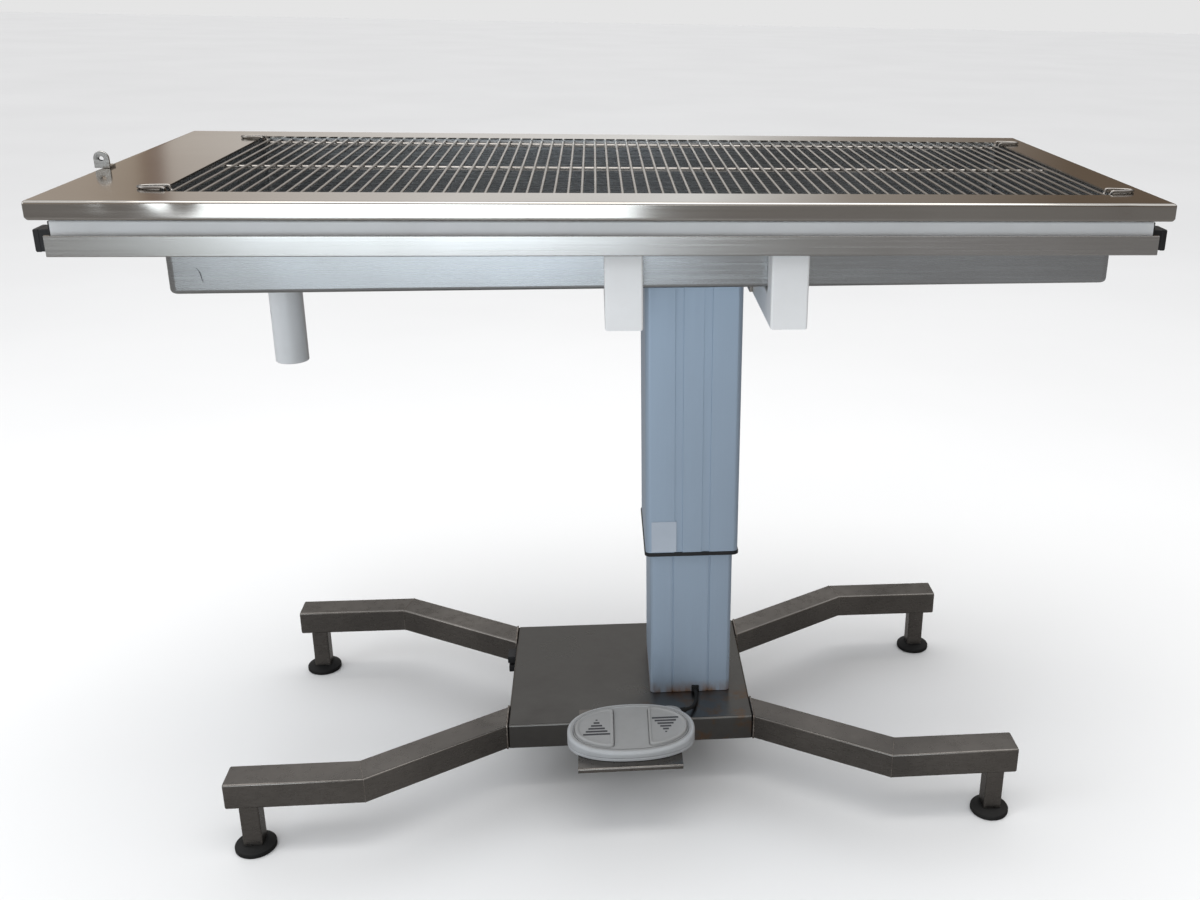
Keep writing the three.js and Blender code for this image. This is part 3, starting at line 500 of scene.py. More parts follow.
def top_ring(inset, z, opening=False, wall=0.0):
    """One ring of the folded top: at the opening's edge, or drawn in from the outer edge."""
    cuts = {"steps": 4, "along_w": 150, "along_h": 40}
    if opening:
        w, d = TUB_X[1] - TUB_X[0] - 2 * SHEET, 2 * (TUB_Y - SHEET)
        return [(sum(TUB_X) / 2 + u, v, z) for u, v in rect(w, d, TUB_CORNER - SHEET, **cuts)]
    ring = []
    for u, v in rect(TOP_L - 2 * inset, TOP_W - 2 * inset, max(3 - inset * 0.4, 1), **cuts):
        level = z
        near = max(abs(u) - (TOP_L / 2 - LIP_NOTCH), 0) + max(abs(v) - (TOP_W / 2 - LIP_NOTCH), 0)
        if z < TOP_Z - LIP_H + LIP_NOTCH:
            level = max(z, TOP_Z - LIP_H + wall + max(near - 1.4 * LIP_NOTCH, 0) * NOTCH_SLOPE)
        if v < 0 and abs(v) > TOP_W / 2 - inset - 1:
            v += lip_dent(u, level)
        ring.append((u, v, level))
    return ring


def table_top():
    """The sheet top with its opening, rounded edge, lip and return flange, as one closed skin."""
    under = TOP_Z - LIP_H
    edge, hem = (EDGE_R, TOP_Z - EDGE_R), (HEM_R, under + HEM_R)
    rings = [top_ring(0, TOP_Z, opening=True), top_ring(40, TOP_Z), top_ring(EDGE_R + 6, TOP_Z)]
    rings += [top_ring(r, z) for r, z in arc(edge, EDGE_R, 90, 180, 6)]
    rings += [top_ring(0, z) for z in LIP_LEVELS]
    rings += [top_ring(r, z) for r, z in arc(hem, HEM_R, 180, 270, 4)]
    rings.append(top_ring(LIP_RETURN, under))
    for r, rise in ((LIP_RETURN, 0), (SHEET + 1, 0), (SHEET, 1)):
        rings.append(top_ring(r, under + SHEET + rise, wall=SHEET))
    rings += [top_ring(SHEET, z) for z in LIP_LEVELS_INSIDE]
    rings += [top_ring(r, z) for r, z in arc(edge, EDGE_R - SHEET, 180, 90, 3)]
    rings.append(top_ring(0, TOP_Z - SHEET, opening=True))
    make("table_top", loft(rings, closed=True), "table", "sheet_steel", "top_pan", sharp=40)


# ---- the tub and its drain
DRAIN_X, DRAIN_R, SEAT_R, SEAT_DROP = -497, 22, 26, 1.2
PIPE_R, PIPE_WALL, PIPE_ZS, PIPE_RINGS = 24, 2.6, (684, 845), (740, 780)
# The pipe's side hole is turned this many degrees from the left to the front.
PORT_R, PORT_Z, PORT_TURN = 4.5, 760, 22
SOCKET_R, NUT_R, FLANGE_R, SOCKET_ZS, NUT_ZS, GRIPS = 29, 32.5, 40, (818, 851.2), (833, 842), 12


def floor_z(x):
    """The underside of the tub's floor, which falls to the left, where the drain is."""
    return TUB_ZS[0] + (TUB_ZS[1] - TUB_ZS[0]) * (x - TUB_X[0]) / (TUB_X[1] - TUB_X[0])


def tub_ring(inset, lift, wall, top=None):
    """A ring of the tub's skin: level at top, or lifted off the sloping floor."""
    w, d = TUB_X[1] - TUB_X[0] - 2 * inset, 2 * (TUB_Y - inset)
    ring = []
    for u, v in rect(w, d, max(TUB_CORNER - wall - (inset - wall) * 0.7, 2), 5, 24, 12):
        x = sum(TUB_X) / 2 + u
        ring.append((x, v, top if top else floor_z(x) + lift))
    return ring


def drain_ring(like, radius, lift):
    """A ring round the drain with a point for each point of another ring."""
    ring = []
    for x, y, _ in like:
        a = math.atan2(y, x - DRAIN_X)
        px = DRAIN_X + radius * math.cos(a)
        ring.append((px, radius * math.sin(a), floor_z(px) + lift))
    return ring


def wash_tub():
    top = TOP_Z - SHEET - 0.3
    bend = (TUB_BOTTOM_R, TUB_BOTTOM_R)
    outside = [tub_ring(0, 0, 0, top)]
    outside += [tub_ring(r, z, 0) for r, z in arc(bend, TUB_BOTTOM_R, 180, 270, 5)]
    low = [drain_ring(outside[-1], SEAT_R, 0), drain_ring(outside[-1], DRAIN_R, -SEAT_DROP)]
    inside = [tub_ring(r, z, SHEET) for r, z in arc(bend, TUB_BOTTOM_R - SHEET, 270, 180, 4)]
    high = [drain_ring(inside[0], DRAIN_R, SHEET - SEAT_DROP), drain_ring(inside[0], SEAT_R + 1, SHEET)]
    rings = outside + low + high + inside + [tub_ring(SHEET, 0, SHEET, top)]
    make("wash_tub", loft(rings, closed=True), "table", "tub", "drain_tub")


def tub_scratch():
    """A short dark scratch near the left end of the tub's front."""
    path = smooth_path([(x, -TUB_Y - 0.05, z) for x, z in SCRATCH], SCRATCH_POINTS)
    along = [math.pi * k / (SCRATCH_POINTS - 1) for k in range(SCRATCH_POINTS)]
    radii = [0.1 + SCRATCH_R * math.sin(a) for a in along]
    make("tub_scratch", wire(path, radii, 6), "table", "scratch_and_painted_slot_shade")


def settle(piece):
    """Turns a piece's modifiers into plain mesh."""
    bpy.context.view_layer.update()
    graph = bpy.context.evaluated_depsgraph_get()
    piece.data = bpy.data.meshes.new_from_object(piece.evaluated_get(graph))
    piece.modifiers.clear()


def drain_pipe():
    """The waste pipe, with its side hole cut through one wall."""
    low, high = PIPE_ZS
    bore = PIPE_R - PIPE_WALL
    profile = [(bore, low + 0.6), (bore + 0.6, low), (PIPE_R - 0.8, low), (PIPE_R, low + 0.8)]
    profile += [(PIPE_R, z) for z in (*PIPE_RINGS, high)] + [(bore, z) for z in (high, *PIPE_RINGS[::-1])]
    pipe = make("waste_pipe", lathe(profile, (DRAIN_X, 0), 64, closed=True), "table", "white_pvc",
                "drain_pipe")
    turn = math.radians(PORT_TURN)
    port = [(DRAIN_X - d * math.cos(turn), -d * math.sin(turn), PORT_Z) for d in (PIPE_R + 6, PIPE_R - 10)]
    points, faces = wire(port, PORT_R, 24)
    cutter = bpy.data.meshes.new("port")
    cutter.from_pydata([[c * MM for c in p] for p in points], [], faces)
    tool = bpy.data.objects.new("port", cutter)
    scene.collection.objects.link(tool)
    cut = pipe.modifiers.new("port", "BOOLEAN")
    cut.object, cut.operation, cut.solver = tool, "DIFFERENCE", "EXACT"
    settle(pipe)
    bpy.data.objects.remove(tool)


def waste_socket():
    """The socket over the pipe: a body, a nut with grips round it, and a flange under the tub."""
    (low, top), (nut_low, nut_top) = SOCKET_ZS, NUT_ZS
    bore, step, pipe = PIPE_R - PIPE_WALL, PIPE_ZS[1] + 0.3, PIPE_R + 0.3
    profile = [
        (pipe, low), (SOCKET_R - 1, low), (SOCKET_R, low + 1), (SOCKET_R, nut_low - 1),
        (NUT_R, nut_low), (NUT_R, nut_top), (SOCKET_R, nut_top + 1), (SOCKET_R, top - 5),
        (FLANGE_R - 1, top - 5), (FLANGE_R, top - 4), (FLANGE_R, top - 1), (FLANGE_R - 1, top),
        (bore, top), (bore, step), (pipe, step),
    ]
    grip = [(0.01, nut_low + 1), (2.2, nut_low + 1.4), (2.2, nut_top - 0.6), (0.01, nut_top)]
    spots = [(DRAIN_X + NUT_R * math.cos(a), NUT_R * math.sin(a)) for a in turns_of(GRIPS)]
    grips = [lathe(grip, spot, 10) for spot in spots]
    make("waste_socket", join(lathe(profile, (DRAIN_X, 0), 64, closed=True), *grips), "table", "white_pvc",
         "drain_socket")


# ---- the grate
ROD_X0, ROD_PITCH, ROD_COUNT, ROD_Z, ROD_END, ROD_R = -561, 17.4, 70, 975, 264, 2
BAR_YS, BAR_Z, BAR_R = (-256, 0, 256), 970.6, 3
# A weld bead where a rod crosses a bar: radius, and height from the rods' middle.
WELD = [(0.05, -2.8), (1.1, -2.2), (1.25, -1.4), (0.7, -0.6), (0.05, -0.3)]
# Half a hook, from the last rod out to its tip: outwards, to the side of its middle, and up.
HOOK = [(0, 8, 0), (2, 9, 2), (3.6, 10, 6), (6, 10.2, 7.3), (24, 8.5, 7.3), (33, 5.5, 7.3), (37.5, 0, 7.3)]
HOOK_Y, HOOK_R = 243, 1.9


def grate():
    """The lift-out grate: rods across, three bars under them, weld beads and four hooks."""
    places = [ROD_X0 + i * ROD_PITCH for i in range(ROD_COUNT)]
    ys = (-ROD_END, -ROD_END + 0.8, ROD_END - 0.8, ROD_END)
    rods = [wire([(x, y, ROD_Z) for y in ys], [1.3, ROD_R, ROD_R, 1.3], 12) for x in places]
    make("grate_rods", join(*rods), "grate", "grate_wire", "grate", sharp=50)
    xs = (ROD_X0 - 3, ROD_X0 - 2, places[-1] + 2, places[-1] + 3)
    bars = [wire([(x, y, BAR_Z) for x in xs], [2.2, BAR_R, BAR_R, 2.2], 12) for y in BAR_YS]
    make("grate_bars", join(*bars), "grate", "grate_wire", sharp=50)
    bead = [(r, ROD_Z + rise) for r, rise in WELD]
    welds = [lathe(bead, (x + side * 1.4, y), 6) for y in BAR_YS for x in places for side in (-1, 1)]
    make("grate_welds", join(*welds), "grate", "weld", sharp=60)
    hooks = []
    for side, x in ((-1, places[0]), (1, places[-1])):
        for y in (-HOOK_Y, HOOK_Y):
            half = [(x + side * out, y - along, ROD_Z + up) for out, along, up in HOOK]
            other = [(px, 2 * y - py, pz) for px, py, pz in half[-2::-1]]
            hooks.append(wire(smooth_path(half + other, 64), HOOK_R, 12))
    make("grate_hooks", join(*hooks), "grate", "grate_wire", sharp=50)


# ---- the tether lug
LUG_X, LUG_YS, LUG_R, LUG_EYE, LUG_HOLE_R, LUG_EASE = -696.5, (-83, -80), 10, 12.5, 3.2, 0.5
LUG_FOOT_XS, LUG_FOOT_YS, LUG_FOOT_H = (-699, -686.5), (-82.5, -62), 3


def tether_lug():
    """An upright plate with a round top and a hole, on a small foot."""
    z = TOP_Z + 0.3
    eye = z + LUG_EYE
    face = arc((LUG_X, eye), LUG_R, 0, 180, 16) + [(LUG_X - LUG_R, z), (LUG_X + LUG_R, z)]
    turns = turns_of(len(face))
    hole = [(LUG_X + LUG_HOLE_R * math.cos(a), eye + LUG_HOLE_R * math.sin(a)) for a in turns]

    def ring(outline, y, inset=0.0):
        t = inset / LUG_R
        return [(px + (LUG_X - px) * t, y, max(pz + (z + 11 - pz) * t, z)) for px, pz in outline]

    y0, y1 = LUG_YS
    rings = [ring(face, y0, LUG_EASE), ring(face, y0 + LUG_EASE), ring(face, y1 - LUG_EASE),
             ring(face, y1, LUG_EASE), ring(hole, y1), ring(hole, y0)]
    foot = slab(LUG_FOOT_XS, LUG_FOOT_YS, (z, z + LUG_FOOT_H), 0.6)
    lug = join(loft(rings, closed=True), foot)
    make("tether_lug", lug, "table", "rail_steel", "restraint_lug")


# ---- rails, carriers and cross members
RAIL_X, RAIL_Y, RAIL_T, RAIL_H, RAIL_Z = 686, 322.7, 6, 25.5, 924.25
STUDS, STUD_PITCH = 5, 320
# A stud from the carrier to the rail: distance from the table's middle, and radius.
STUD = [(308.3, 8.6), (309.6, 7.6), (311, 7), (315, 7), (317.4, 8.4)]
CARRIER_X, CARRIER_YS, CARRIER_ZS, CARRIER_R = 683, (268.6, 308), (912.5, 952.5), 3
CARRIER_W = CARRIER_YS[1] - CARRIER_YS[0]
# A black end plug as three blocks: spans out from the table's middle, levels and rounding.
PLUG = [
    ((683.3, 685.3), (269.6, 307), (913.5, 951.5), 0.7),
    ((684.5, 707.3), (270, 299), (913, 940), 1.6),
    ((700, 706.6), (269.6, 299.4), (912.6, 940.4), 1.2),
]
CROSS_XS, CROSS_W, CROSS_LOW, CROSS_R = {"left": -30, "right": 183}, 49, 811.5, 3.2


def side_frame(end, s):
    """One long side: the rail on its studs, the white carrier behind it and the carrier's plugs."""
    y = s * (RAIL_Y - RAIL_T / 2)
    bar = sweep([(-RAIL_X, y, RAIL_Z), (RAIL_X, y, RAIL_Z)], rect(RAIL_H, RAIL_T, 1.3, 4), (0, 0, 1))
    places = [(i - STUDS // 2) * STUD_PITCH for i in range(STUDS)]
    studs = [wire([(x, s * out, RAIL_Z) for out, _ in STUD], [r for _, r in STUD], 24) for x in places]
    make(f"accessory_rail_{end}", join(bar, *studs), "table", "rail_steel", f"rail_{end}")
    y, z = s * sum(CARRIER_YS) / 2, sum(CARRIER_ZS) / 2
    outline = rect(CARRIER_ZS[1] - CARRIER_ZS[0], CARRIER_W, CARRIER_R, 5)
    tube = sweep([(-CARRIER_X, y, z), (CARRIER_X, y, z)], outline, (0, 0, 1))
    make(f"carrier_{end}", tube, "table", "white_powder_coat", f"carrier_tube_{end}")
    for hand, t in (("left", -1), ("right", 1)):
        blocks = [slab(sorted(t * x for x in xs), sorted(s * y for y in ys), zs, r)
                  for xs, ys, zs, r in PLUG]
        make(f"plug_{end}_{hand}", join(*blocks), "table", "black_plastic", f"end_plug_{end}_{hand}")


def cross_frame(hand):
    """A white U-shaped member: down from one carrier, across under the tub and up to the other."""
    x, y = CROSS_XS[hand] + CROSS_W / 2, sum(CARRIER_YS) / 2
    low, high = CROSS_LOW + CARRIER_W / 2, CARRIER_ZS[0] - 0.3
    path = [(x, -y, high), (x, -y, low), (x, y, low), (x, y, high)]
    make(f"cross_frame_{hand}", sweep(path, rect(CROSS_W, CARRIER_W, CROSS_R, 5), (1, 0, 0)), "table",
         "white_powder_coat", f"cross_member_{hand}")


# ---- the column
COL_X = 101.5
PROFILE_WALL, GROOVE_DEPTH, GROOVE_EASE, CORNER_STEPS = 5, 1.5, 0.4, 8
# Each profile: width and depth, corner radius, grooves across the front and back, and levels.
OUTER = ((145, 184), 8, [(-27.5, -15), (15, 27.5)], (389.3, 846))
INNER = ((131, 160), 7, [(-30.5, -27.5), (27.5, 30.5)], (128.3, 598))
# The black ring's size over the outer profile, its gap round the inner one, and its levels.
RING_OVER, RING_GAP, RING_EASE, RING_ZS = 3, 2.6, 0.8, (383.5, 389)
LABEL_XS, LABEL_Y, LABEL_ZS = (38, 77), -92.3, (391, 443)


def profile_outline(w, d, r, grooves, depth):
    """A rounded rectangle with shallow channels in its front and back faces."""
    outline = rect(w, d, r, CORNER_STEPS)
    result = []
    for i in range(4):
        corner = outline[i * (CORNER_STEPS + 1):(i + 1) * (CORNER_STEPS + 1)]
        result += corner
        if i % 2 == 0:
            face = corner[-1][1]
            step = math.copysign(depth, face)
            way = -1 if face > 0 else 1
            for x0, x1 in sorted(grooves, reverse=way < 0):
                near, far = (x1, x0) if way < 0 else (x0, x1)
                result += [(near, face), (near + way * GROOVE_EASE, face - step)]
                result += [(far - way * GROOVE_EASE, face - step), (far, face)]
    return result


def column_tube(size, r, grooves, zs, ease=0.5):
    """An upright grooved profile with a plain bore and eased ends."""
    (w, d), (z0, z1) = size, zs
    outline = profile_outline(w, d, r, grooves, GROOVE_DEPTH)
    bore = profile_outline(w - 2 * PROFILE_WALL, d - 2 * PROFILE_WALL, r - PROFILE_WALL, grooves, 0)
    small = 1 - ease / 80

    def ring(points, z, k=1.0):
        return [(COL_X + u * k, v * k, z) for u, v in points]

    return loft([ring(outline, z0, small), ring(outline, z0 + ease), ring(outline, z1 - ease),
                 ring(outline, z1, small), ring(bore, z1), ring(bore, z0)], closed=True)


def column():
    make("outer_column", column_tube(*OUTER), "table", "anodised_alloy", "outer_profile")
    make("inner_column", column_tube(*INNER), "base", "anodised_alloy", "inner_profile")

    def ring(size, more, r, z):
        return [(COL_X + u, v, z) for u, v in rect(size[0] + more, size[1] + more, r, CORNER_STEPS)]

    low, high = RING_ZS
    rings = []
    for inset, z in ((RING_EASE, low), (0, low + RING_EASE), (0, high - RING_EASE), (RING_EASE, high)):
        rings.append(ring(OUTER[0], RING_OVER - 2 * inset, OUTER[1] + 1, z))
    rings += [ring(INNER[0], RING_GAP, INNER[1] + RING_GAP / 2, z) for z in (high, low)]
    make("column_ring", loft(rings, closed=True), "table", "black_plastic", "profile_end_ring")
    film = slab(LABEL_XS, (LABEL_Y - 0.5, LABEL_Y), LABEL_ZS, 0.2, 2)
    make("rating_plate", film, "table", "label_film", "label_plate")


# ---- the base, its legs and feet
BASE_X, BASE_ZS, BASE_L, BASE_W, BASE_R, BASE_SHEET = 3, (86, 128), 389, 316, 3.4, 3
LEG_H, LEG_W, LEG_R, LEG_Y, LEG_ANGLE = 42, 48.5, 3, 281, 31.5
LEG_REACH, LEG_KNEE, LEG_ROOT = 595.5, 395, 194.9
FOOT_INSET, POST_W, POST_ZS, POST_BORE_R, POST_BORE_TOP = 29.6, 28, (12.3, 85.7), 5.5, 74
STEM_R, STEM_THREAD, STEM_PITCH, STEM_ZS = 5, 0.7, 1.5, (5.3, 70)
# The levelling foot's section, and one of the ribs round its rim: radius and height.
FOOT = [
    (0.01, 0.6), (24, 0.6), (24.6, 0), (28.4, 0), (29.4, 0.6), (30, 1.6), (30, 6.4), (29.3, 7.6),
    (27.6, 8.4), (20.5, 11.2), (18.6, 11.9), (17, 12), (6.6, 12), (6, 11.4), (5.4, 5.2), (0.01, 5.2),
]
FOOT_RIB, FOOT_RIB_AT, FOOT_RIBS = [(0.01, 1.8), (0.8, 2), (0.8, 6), (0.01, 6.4)], 29.2, 20


def leg_path(sx, sy):
    """The middle line of a dog-leg tube, from its end to the base."""
    mid_y = LEG_Y - LEG_W / 2
    turn = math.radians(LEG_ANGLE)
    knee = LEG_KNEE + math.tan(turn / 2) * LEG_W / 2
    spots = [(LEG_REACH, mid_y), (knee, mid_y), (LEG_ROOT, mid_y - (knee - LEG_ROOT) * math.tan(turn))]
    return [Vector((BASE_X + sx * x, sy * y, sum(BASE_ZS) / 2)) for x, y in spots]


def leg(tag, sx, sy):
    """A dog-leg tube with an eased end, mitred at its knee and cut square to the base, and its welds."""
    tip, knee, root = leg_path(sx, sy)
    outline = rect(LEG_H, LEG_W, LEG_R, 5)
    up = Vector((0, 0, 1))
    first, second = (knee - tip).normalized(), (root - knee).normalized()
    out = first.cross(up)
    mitre = (first + second).normalized().cross(up).normalized()
    mitre /= mitre.dot(out)
    square = Vector((0, 1, 0)) / second.cross(up).y
    rings = []
    for inset, back in ((2.2, 0), (0.8, 0.5), (0, 2)):
        tall, wide = 1 - inset / (LEG_H / 2), 1 - inset / (LEG_W / 2)
        rings.append([tip + first * back + up * u * tall + out * v * wide for u, v in outline])
    rings.append([knee + up * u + mitre * v for u, v in outline])
    rings.append([root + up * u + square * v for u, v in outline])
    make(f"tube_{tag}", loft(rings), "base", "leg_steel", f"leg_{tag}")
    bead, seam = [], []
    for i, (u, v) in enumerate(rect(LEG_H + 1.2, LEG_W + 1.2, 3.4, 5, 14, 12)):
        wobble = 0.35 * math.sin(i * 2.1) + 0.2 * math.sin(i * 0.7)
        bead.append(root + up * u + square * v + Vector((sx * (0.9 + 0.3 * wobble), 0, 0)))
    for u, v in rect(LEG_H + 0.2, LEG_W + 0.2, LEG_R, 5, 14, 12):
        seam.append(knee + up * u + mitre * v)
    bead_radii = [1.5 + 0.3 * math.sin(i * 2.1) for i in range(len(bead))]
    seam_radii = [0.45 + 0.1 * math.sin(i * 1.7) for i in range(len(seam))]
    beads = join(wire(bead, bead_radii, 8, closed=True), wire(seam, seam_radii, 6, closed=True))
    make(f"weld_{tag}", beads, "base", "weld", sharp=60)


def thread(radius, depth, pitch, zs, centre, steps=20, per_turn=6):
    """A screw thread: a rod whose radius rises and falls along a helix, and runs out at its ends."""
    z0, z1 = zs
    rows = int((z1 - z0) / pitch * per_turn)
    rings = []
    for j in range(rows + 1):
        z = z0 + (z1 - z0) * j / rows
        ring = []
        for k in range(steps):
            a = 2 * math.pi * k / steps
            phase = ((z - z0) / pitch - k / steps) % 1
            r = radius - depth * (1 - abs(2 * phase - 1)) * min(1, 2 * min(j, rows - j) / per_turn)
            ring.append((centre[0] + r * math.cos(a), centre[1] + r * math.sin(a), z))
        rings.append(ring)
    return loft(rings)


def foot(tag, sx, sy):
    """A square post bored for its stem, the post's weld, the levelling foot and its stem."""
    x, y = BASE_X + sx * (LEG_REACH - FOOT_INSET), sy * (LEG_Y - LEG_W / 2)
    square = [(x + u, y + v) for u, v in rect(POST_W, POST_W, 2.4, 5, 12, 12)]
    turns = [math.atan2(py - y, px - x) for px, py in square]
    bore = [(x + POST_BORE_R * math.cos(a), y + POST_BORE_R * math.sin(a)) for a in turns]
    low, high = POST_ZS
    levels = ((bore, POST_BORE_TOP), (bore, low), (square, low), (square, high))
    post = loft([[(px, py, z) for px, py in outline] for outline, z in levels])
    make(f"square_post_{tag}", post, "base", "leg_steel", f"post_{tag}")
    bead = [(x + u, y + v, high - 0.8) for u, v in rect(POST_W + 1, POST_W + 1, 2.8, 4, 10, 10)]
    radii = [1.3 + 0.25 * math.sin(i * 2.3) for i in range(len(bead))]
    make(f"post_weld_{tag}", wire(bead, radii, 8, closed=True), "base", "weld", sharp=60)
    spots = [(x + FOOT_RIB_AT * math.cos(a), y + FOOT_RIB_AT * math.sin(a)) for a in turns_of(FOOT_RIBS)]
    ribs = [lathe(FOOT_RIB, spot, 8) for spot in spots]
    make(f"levelling_foot_{tag}", join(lathe(FOOT, (x, y), 60), *ribs), f"foot_pad_{tag}", "black_rubber",
         f"foot_pad_{tag}")
    stem = thread(STEM_R, STEM_THREAD, STEM_PITCH, STEM_ZS, (x, y))
    make(f"threaded_stem_{tag}", stem, f"foot_stem_{tag}", "bright_steel", f"foot_stem_{tag}",
         sharp=80)


def base_cover():
    """The folded base plate: a flat top with rounded edges and open underneath, as one skin."""
    low, high = BASE_ZS
    inside = high - BASE_SHEET

    def ring(inset, z, shrink=1.0):
        outline = rect(BASE_L - 2 * inset, BASE_W - 2 * inset, max(BASE_R - inset * 0.5, 1), 5, 4, 4)
        return [(BASE_X + u * shrink, v * shrink, z) for u, v in outline]

    inner = [ring(6, inside), ring(4.4, inside - 0.6), ring(BASE_SHEET, inside - 2.5)]
    inner += [ring(BASE_SHEET, low + 0.5), ring(BASE_SHEET - 0.5, low)]
    outer = [ring(0.5, low), ring(0, low + 0.5)]
    outer += [ring(BASE_R + r, high - BASE_R + z) for r, z in arc((0, 0), BASE_R, 180, 90, 6)[:-1]]
    outer.append(ring(3.6, high))
    rings = [ring(3.6, inside, 0.02), *inner, *outer, ring(3.6, high, 0.02)]
    make("base_cover", loft(rings), "base", "base_plate", "base_plate")


# ---- the mains inlet
INLET_XS, INLET_YS, INLET_ZS = (-205.5, -191.8), (62, 94), (90, 122)
INLET_UPPER, INLET_LOWER = (108.5, 121), (91, 103)
PIN_YS, PIN_ZS = (71, 78, 85), (112.5, 117)


def mains_inlet():
    """A flange with two blocks on it, the upper one with three pins."""
    x0, x1 = INLET_XS
    ys = (INLET_YS[0] + 2, INLET_YS[1] - 2)
    flange = slab((x1 - 2.5, x1), INLET_YS, INLET_ZS, 0.8)
    upper = slab((x0, x1 - 1.5), ys, INLET_UPPER, 1.2)
    lower = slab((x0 + 1.5, x1 - 1.5), ys, INLET_LOWER, 1.2)
    make("inlet_body", join(flange, upper, lower), "base", "black_plastic", "mains_inlet")
    pins = [slab((x0 - 0.4, x0 + 3), (y - 1, y + 1), PIN_ZS, 0.3) for y in PIN_YS]
    make("inlet_pins", join(*pins), "base", "bright_steel")


# ---- the foot switch
# The oval's middle, half-lengths and squareness, and its edge: rounded, with a bevel inside it.
SW_X, SW_Y, SW_A, SW_B, SW_POWER, SW_ROUND, SW_BEVEL = 1, -214, 98, 57, 2.25, 4.5, 8
# The deck's level at the front edge, its rise to the back and its thickness.
SW_FRONT_Z, SW_RISE, DECK_T = 146, 14, 5
PAD_EDGE, PAD_MARGIN, PAD_SLOT, PAD_CORNER = 26, 11, 0.8, 7
# The section of a pedal's rim: how far in from the slot, and how high above the deck.
PAD_RIM = [(0, -3), (0, 1.6), (0.5, 3), (1.4, 3.8), (2.6, 4), (3.6, 4), (4.6, 3.6), (5.6, 2.9), (7, 2.7)]
ARROW_X, ARROW_TIP, ARROW_PITCH, ARROW_WIDTHS = 53, 16, 6.4, (3, 9, 17, 25, 33, 41)
SWITCH_FOOT = [(3, 130.6), (1, 130.6), (0.2, 131.4), (0, 132.4), (0, 135.2), (0.5, 135.9), (4, 135.9)]
BULGE_SECTION = [(0.01, 131), (20, 131), (21, 132), (21, 146.5), (20.2, 148.4), (18, 149.4), (0.01, 150)]


def slope(y):
    """The deck's level, which rises to the back."""
    return SW_FRONT_Z + SW_RISE * (y - (SW_Y - SW_B)) / (2 * SW_B)


def above(lift):
    """A level that follows the deck, as a function of y."""
    return lambda y: slope(y) + lift


def oval_point(inset, a):
    c, s = math.cos(a), math.sin(a)
    return (SW_X + (SW_A - inset) * math.copysign(abs(c) ** (2 / SW_POWER), c),
            SW_Y + (SW_B - inset) * math.copysign(abs(s) ** (2 / SW_POWER), s))


def oval(inset, height, count=112):
    """A ring of the oval; height is a level, or a function of y."""
    ring = []
    for k in range(count):
        x, y = oval_point(inset, 2 * math.pi * k / count)
        ring.append((x, y, height(y) if callable(height) else height))
    return ring


def pad_outline(side, inset, count=40):
    """A D-shaped pedal's outline with rounded corners at the middle ridge."""
    limit = math.acos(((PAD_EDGE + inset) / (SW_A - PAD_MARGIN - inset)) ** (SW_POWER / 2))
    turn = math.pi if side < 0 else 0
    angles = [turn + limit * (2 * i / count - 1) for i in range(count + 1)]
    curve = [Vector(oval_point(PAD_MARGIN + inset, a)) for a in angles]
    first, last = curve[0], curve[-1]
    edge = (first - last).normalized() * PAD_CORNER
    keep = [p for p in curve if min((p - first).length, (p - last).length) > PAD_CORNER]

    def rounded(tip, start, end):
        ts = (0, 0.25, 0.5, 0.75, 1)
        return [(1 - t) ** 2 * start + 2 * t * (1 - t) * tip + t ** 2 * end for t in ts]

    out = keep[1:-1] + rounded(last, keep[-1], last + edge) + rounded(first, first - edge, keep[0])
    return [(p.x, p.y) for p in out]


def deck_plate():
    """The sloping deck between the bevel and the two pedals' openings, as a plate."""
    loops = [oval(SW_BEVEL + 1.6, slope)]
    loops += [[(x, y, slope(y)) for x, y in pad_outline(side, 0)] for side in (-1, 1)]
    work = bmesh.new()
    edges = []
    for loop in loops:
        verts = [work.verts.new(p) for p in loop]
        edges += [work.edges.new((verts[i], verts[(i + 1) % len(verts)])) for i in range(len(verts))]
    bmesh.ops.triangle_fill(work, edges=edges, use_beauty=True)
    work.verts.index_update()
    top = [tuple(v.co) for v in work.verts]
    faces = [tuple(v.index for v in f.verts) for f in work.faces]
    work.free()
    under, start = len(top), 0
    faces += [tuple(i + under for i in f) for f in faces]
    for loop in loops:
        around = [(start + i, start + (i + 1) % len(loop)) for i in range(len(loop))]
        faces += [(a, b, under + b, under + a) for a, b in around]
        start += len(loop)
    return top + [(x, y, z - DECK_T) for x, y, z in top], faces


def switch_body():
    """The switch's foot, its rounded rim, and the deck with its border and the cable bulge."""
    foot_rings = [oval(inset, z) for inset, z in SWITCH_FOOT]
    make("switch_foot", loft(foot_rings), "base", "grey_plastic", "switch_base")
    rim = [oval(0.8, 136.3), oval(0.1, 136.9), oval(0, 138)]
    rim += [oval(inset, above(-drop)) for inset, drop in arc((SW_ROUND, SW_ROUND), SW_ROUND, 180, 270, 7)]
    rim += [oval(SW_BEVEL, slope), oval(SW_BEVEL + 0.9, above(-1.1))]
    rim += [oval(SW_BEVEL + 0.9, 137), oval(SW_BEVEL, 136.3)]
    make("switch_rim", loft(rim, closed=True), "base", "grey_plastic", "switch_cover")
    outer, inner = SW_ROUND + 0.4, SW_BEVEL - 0.2
    levels = ((outer, -0.8), (outer, 0.12), (inner, 0.12), (inner, -0.8))
    border = loft([oval(inset, above(lift)) for inset, lift in levels], closed=True)
    cap = lathe(BULGE_SECTION, BULGE, 48)
    make("switch_deck", join(deck_plate(), border, cap), "base", "deck_plastic")


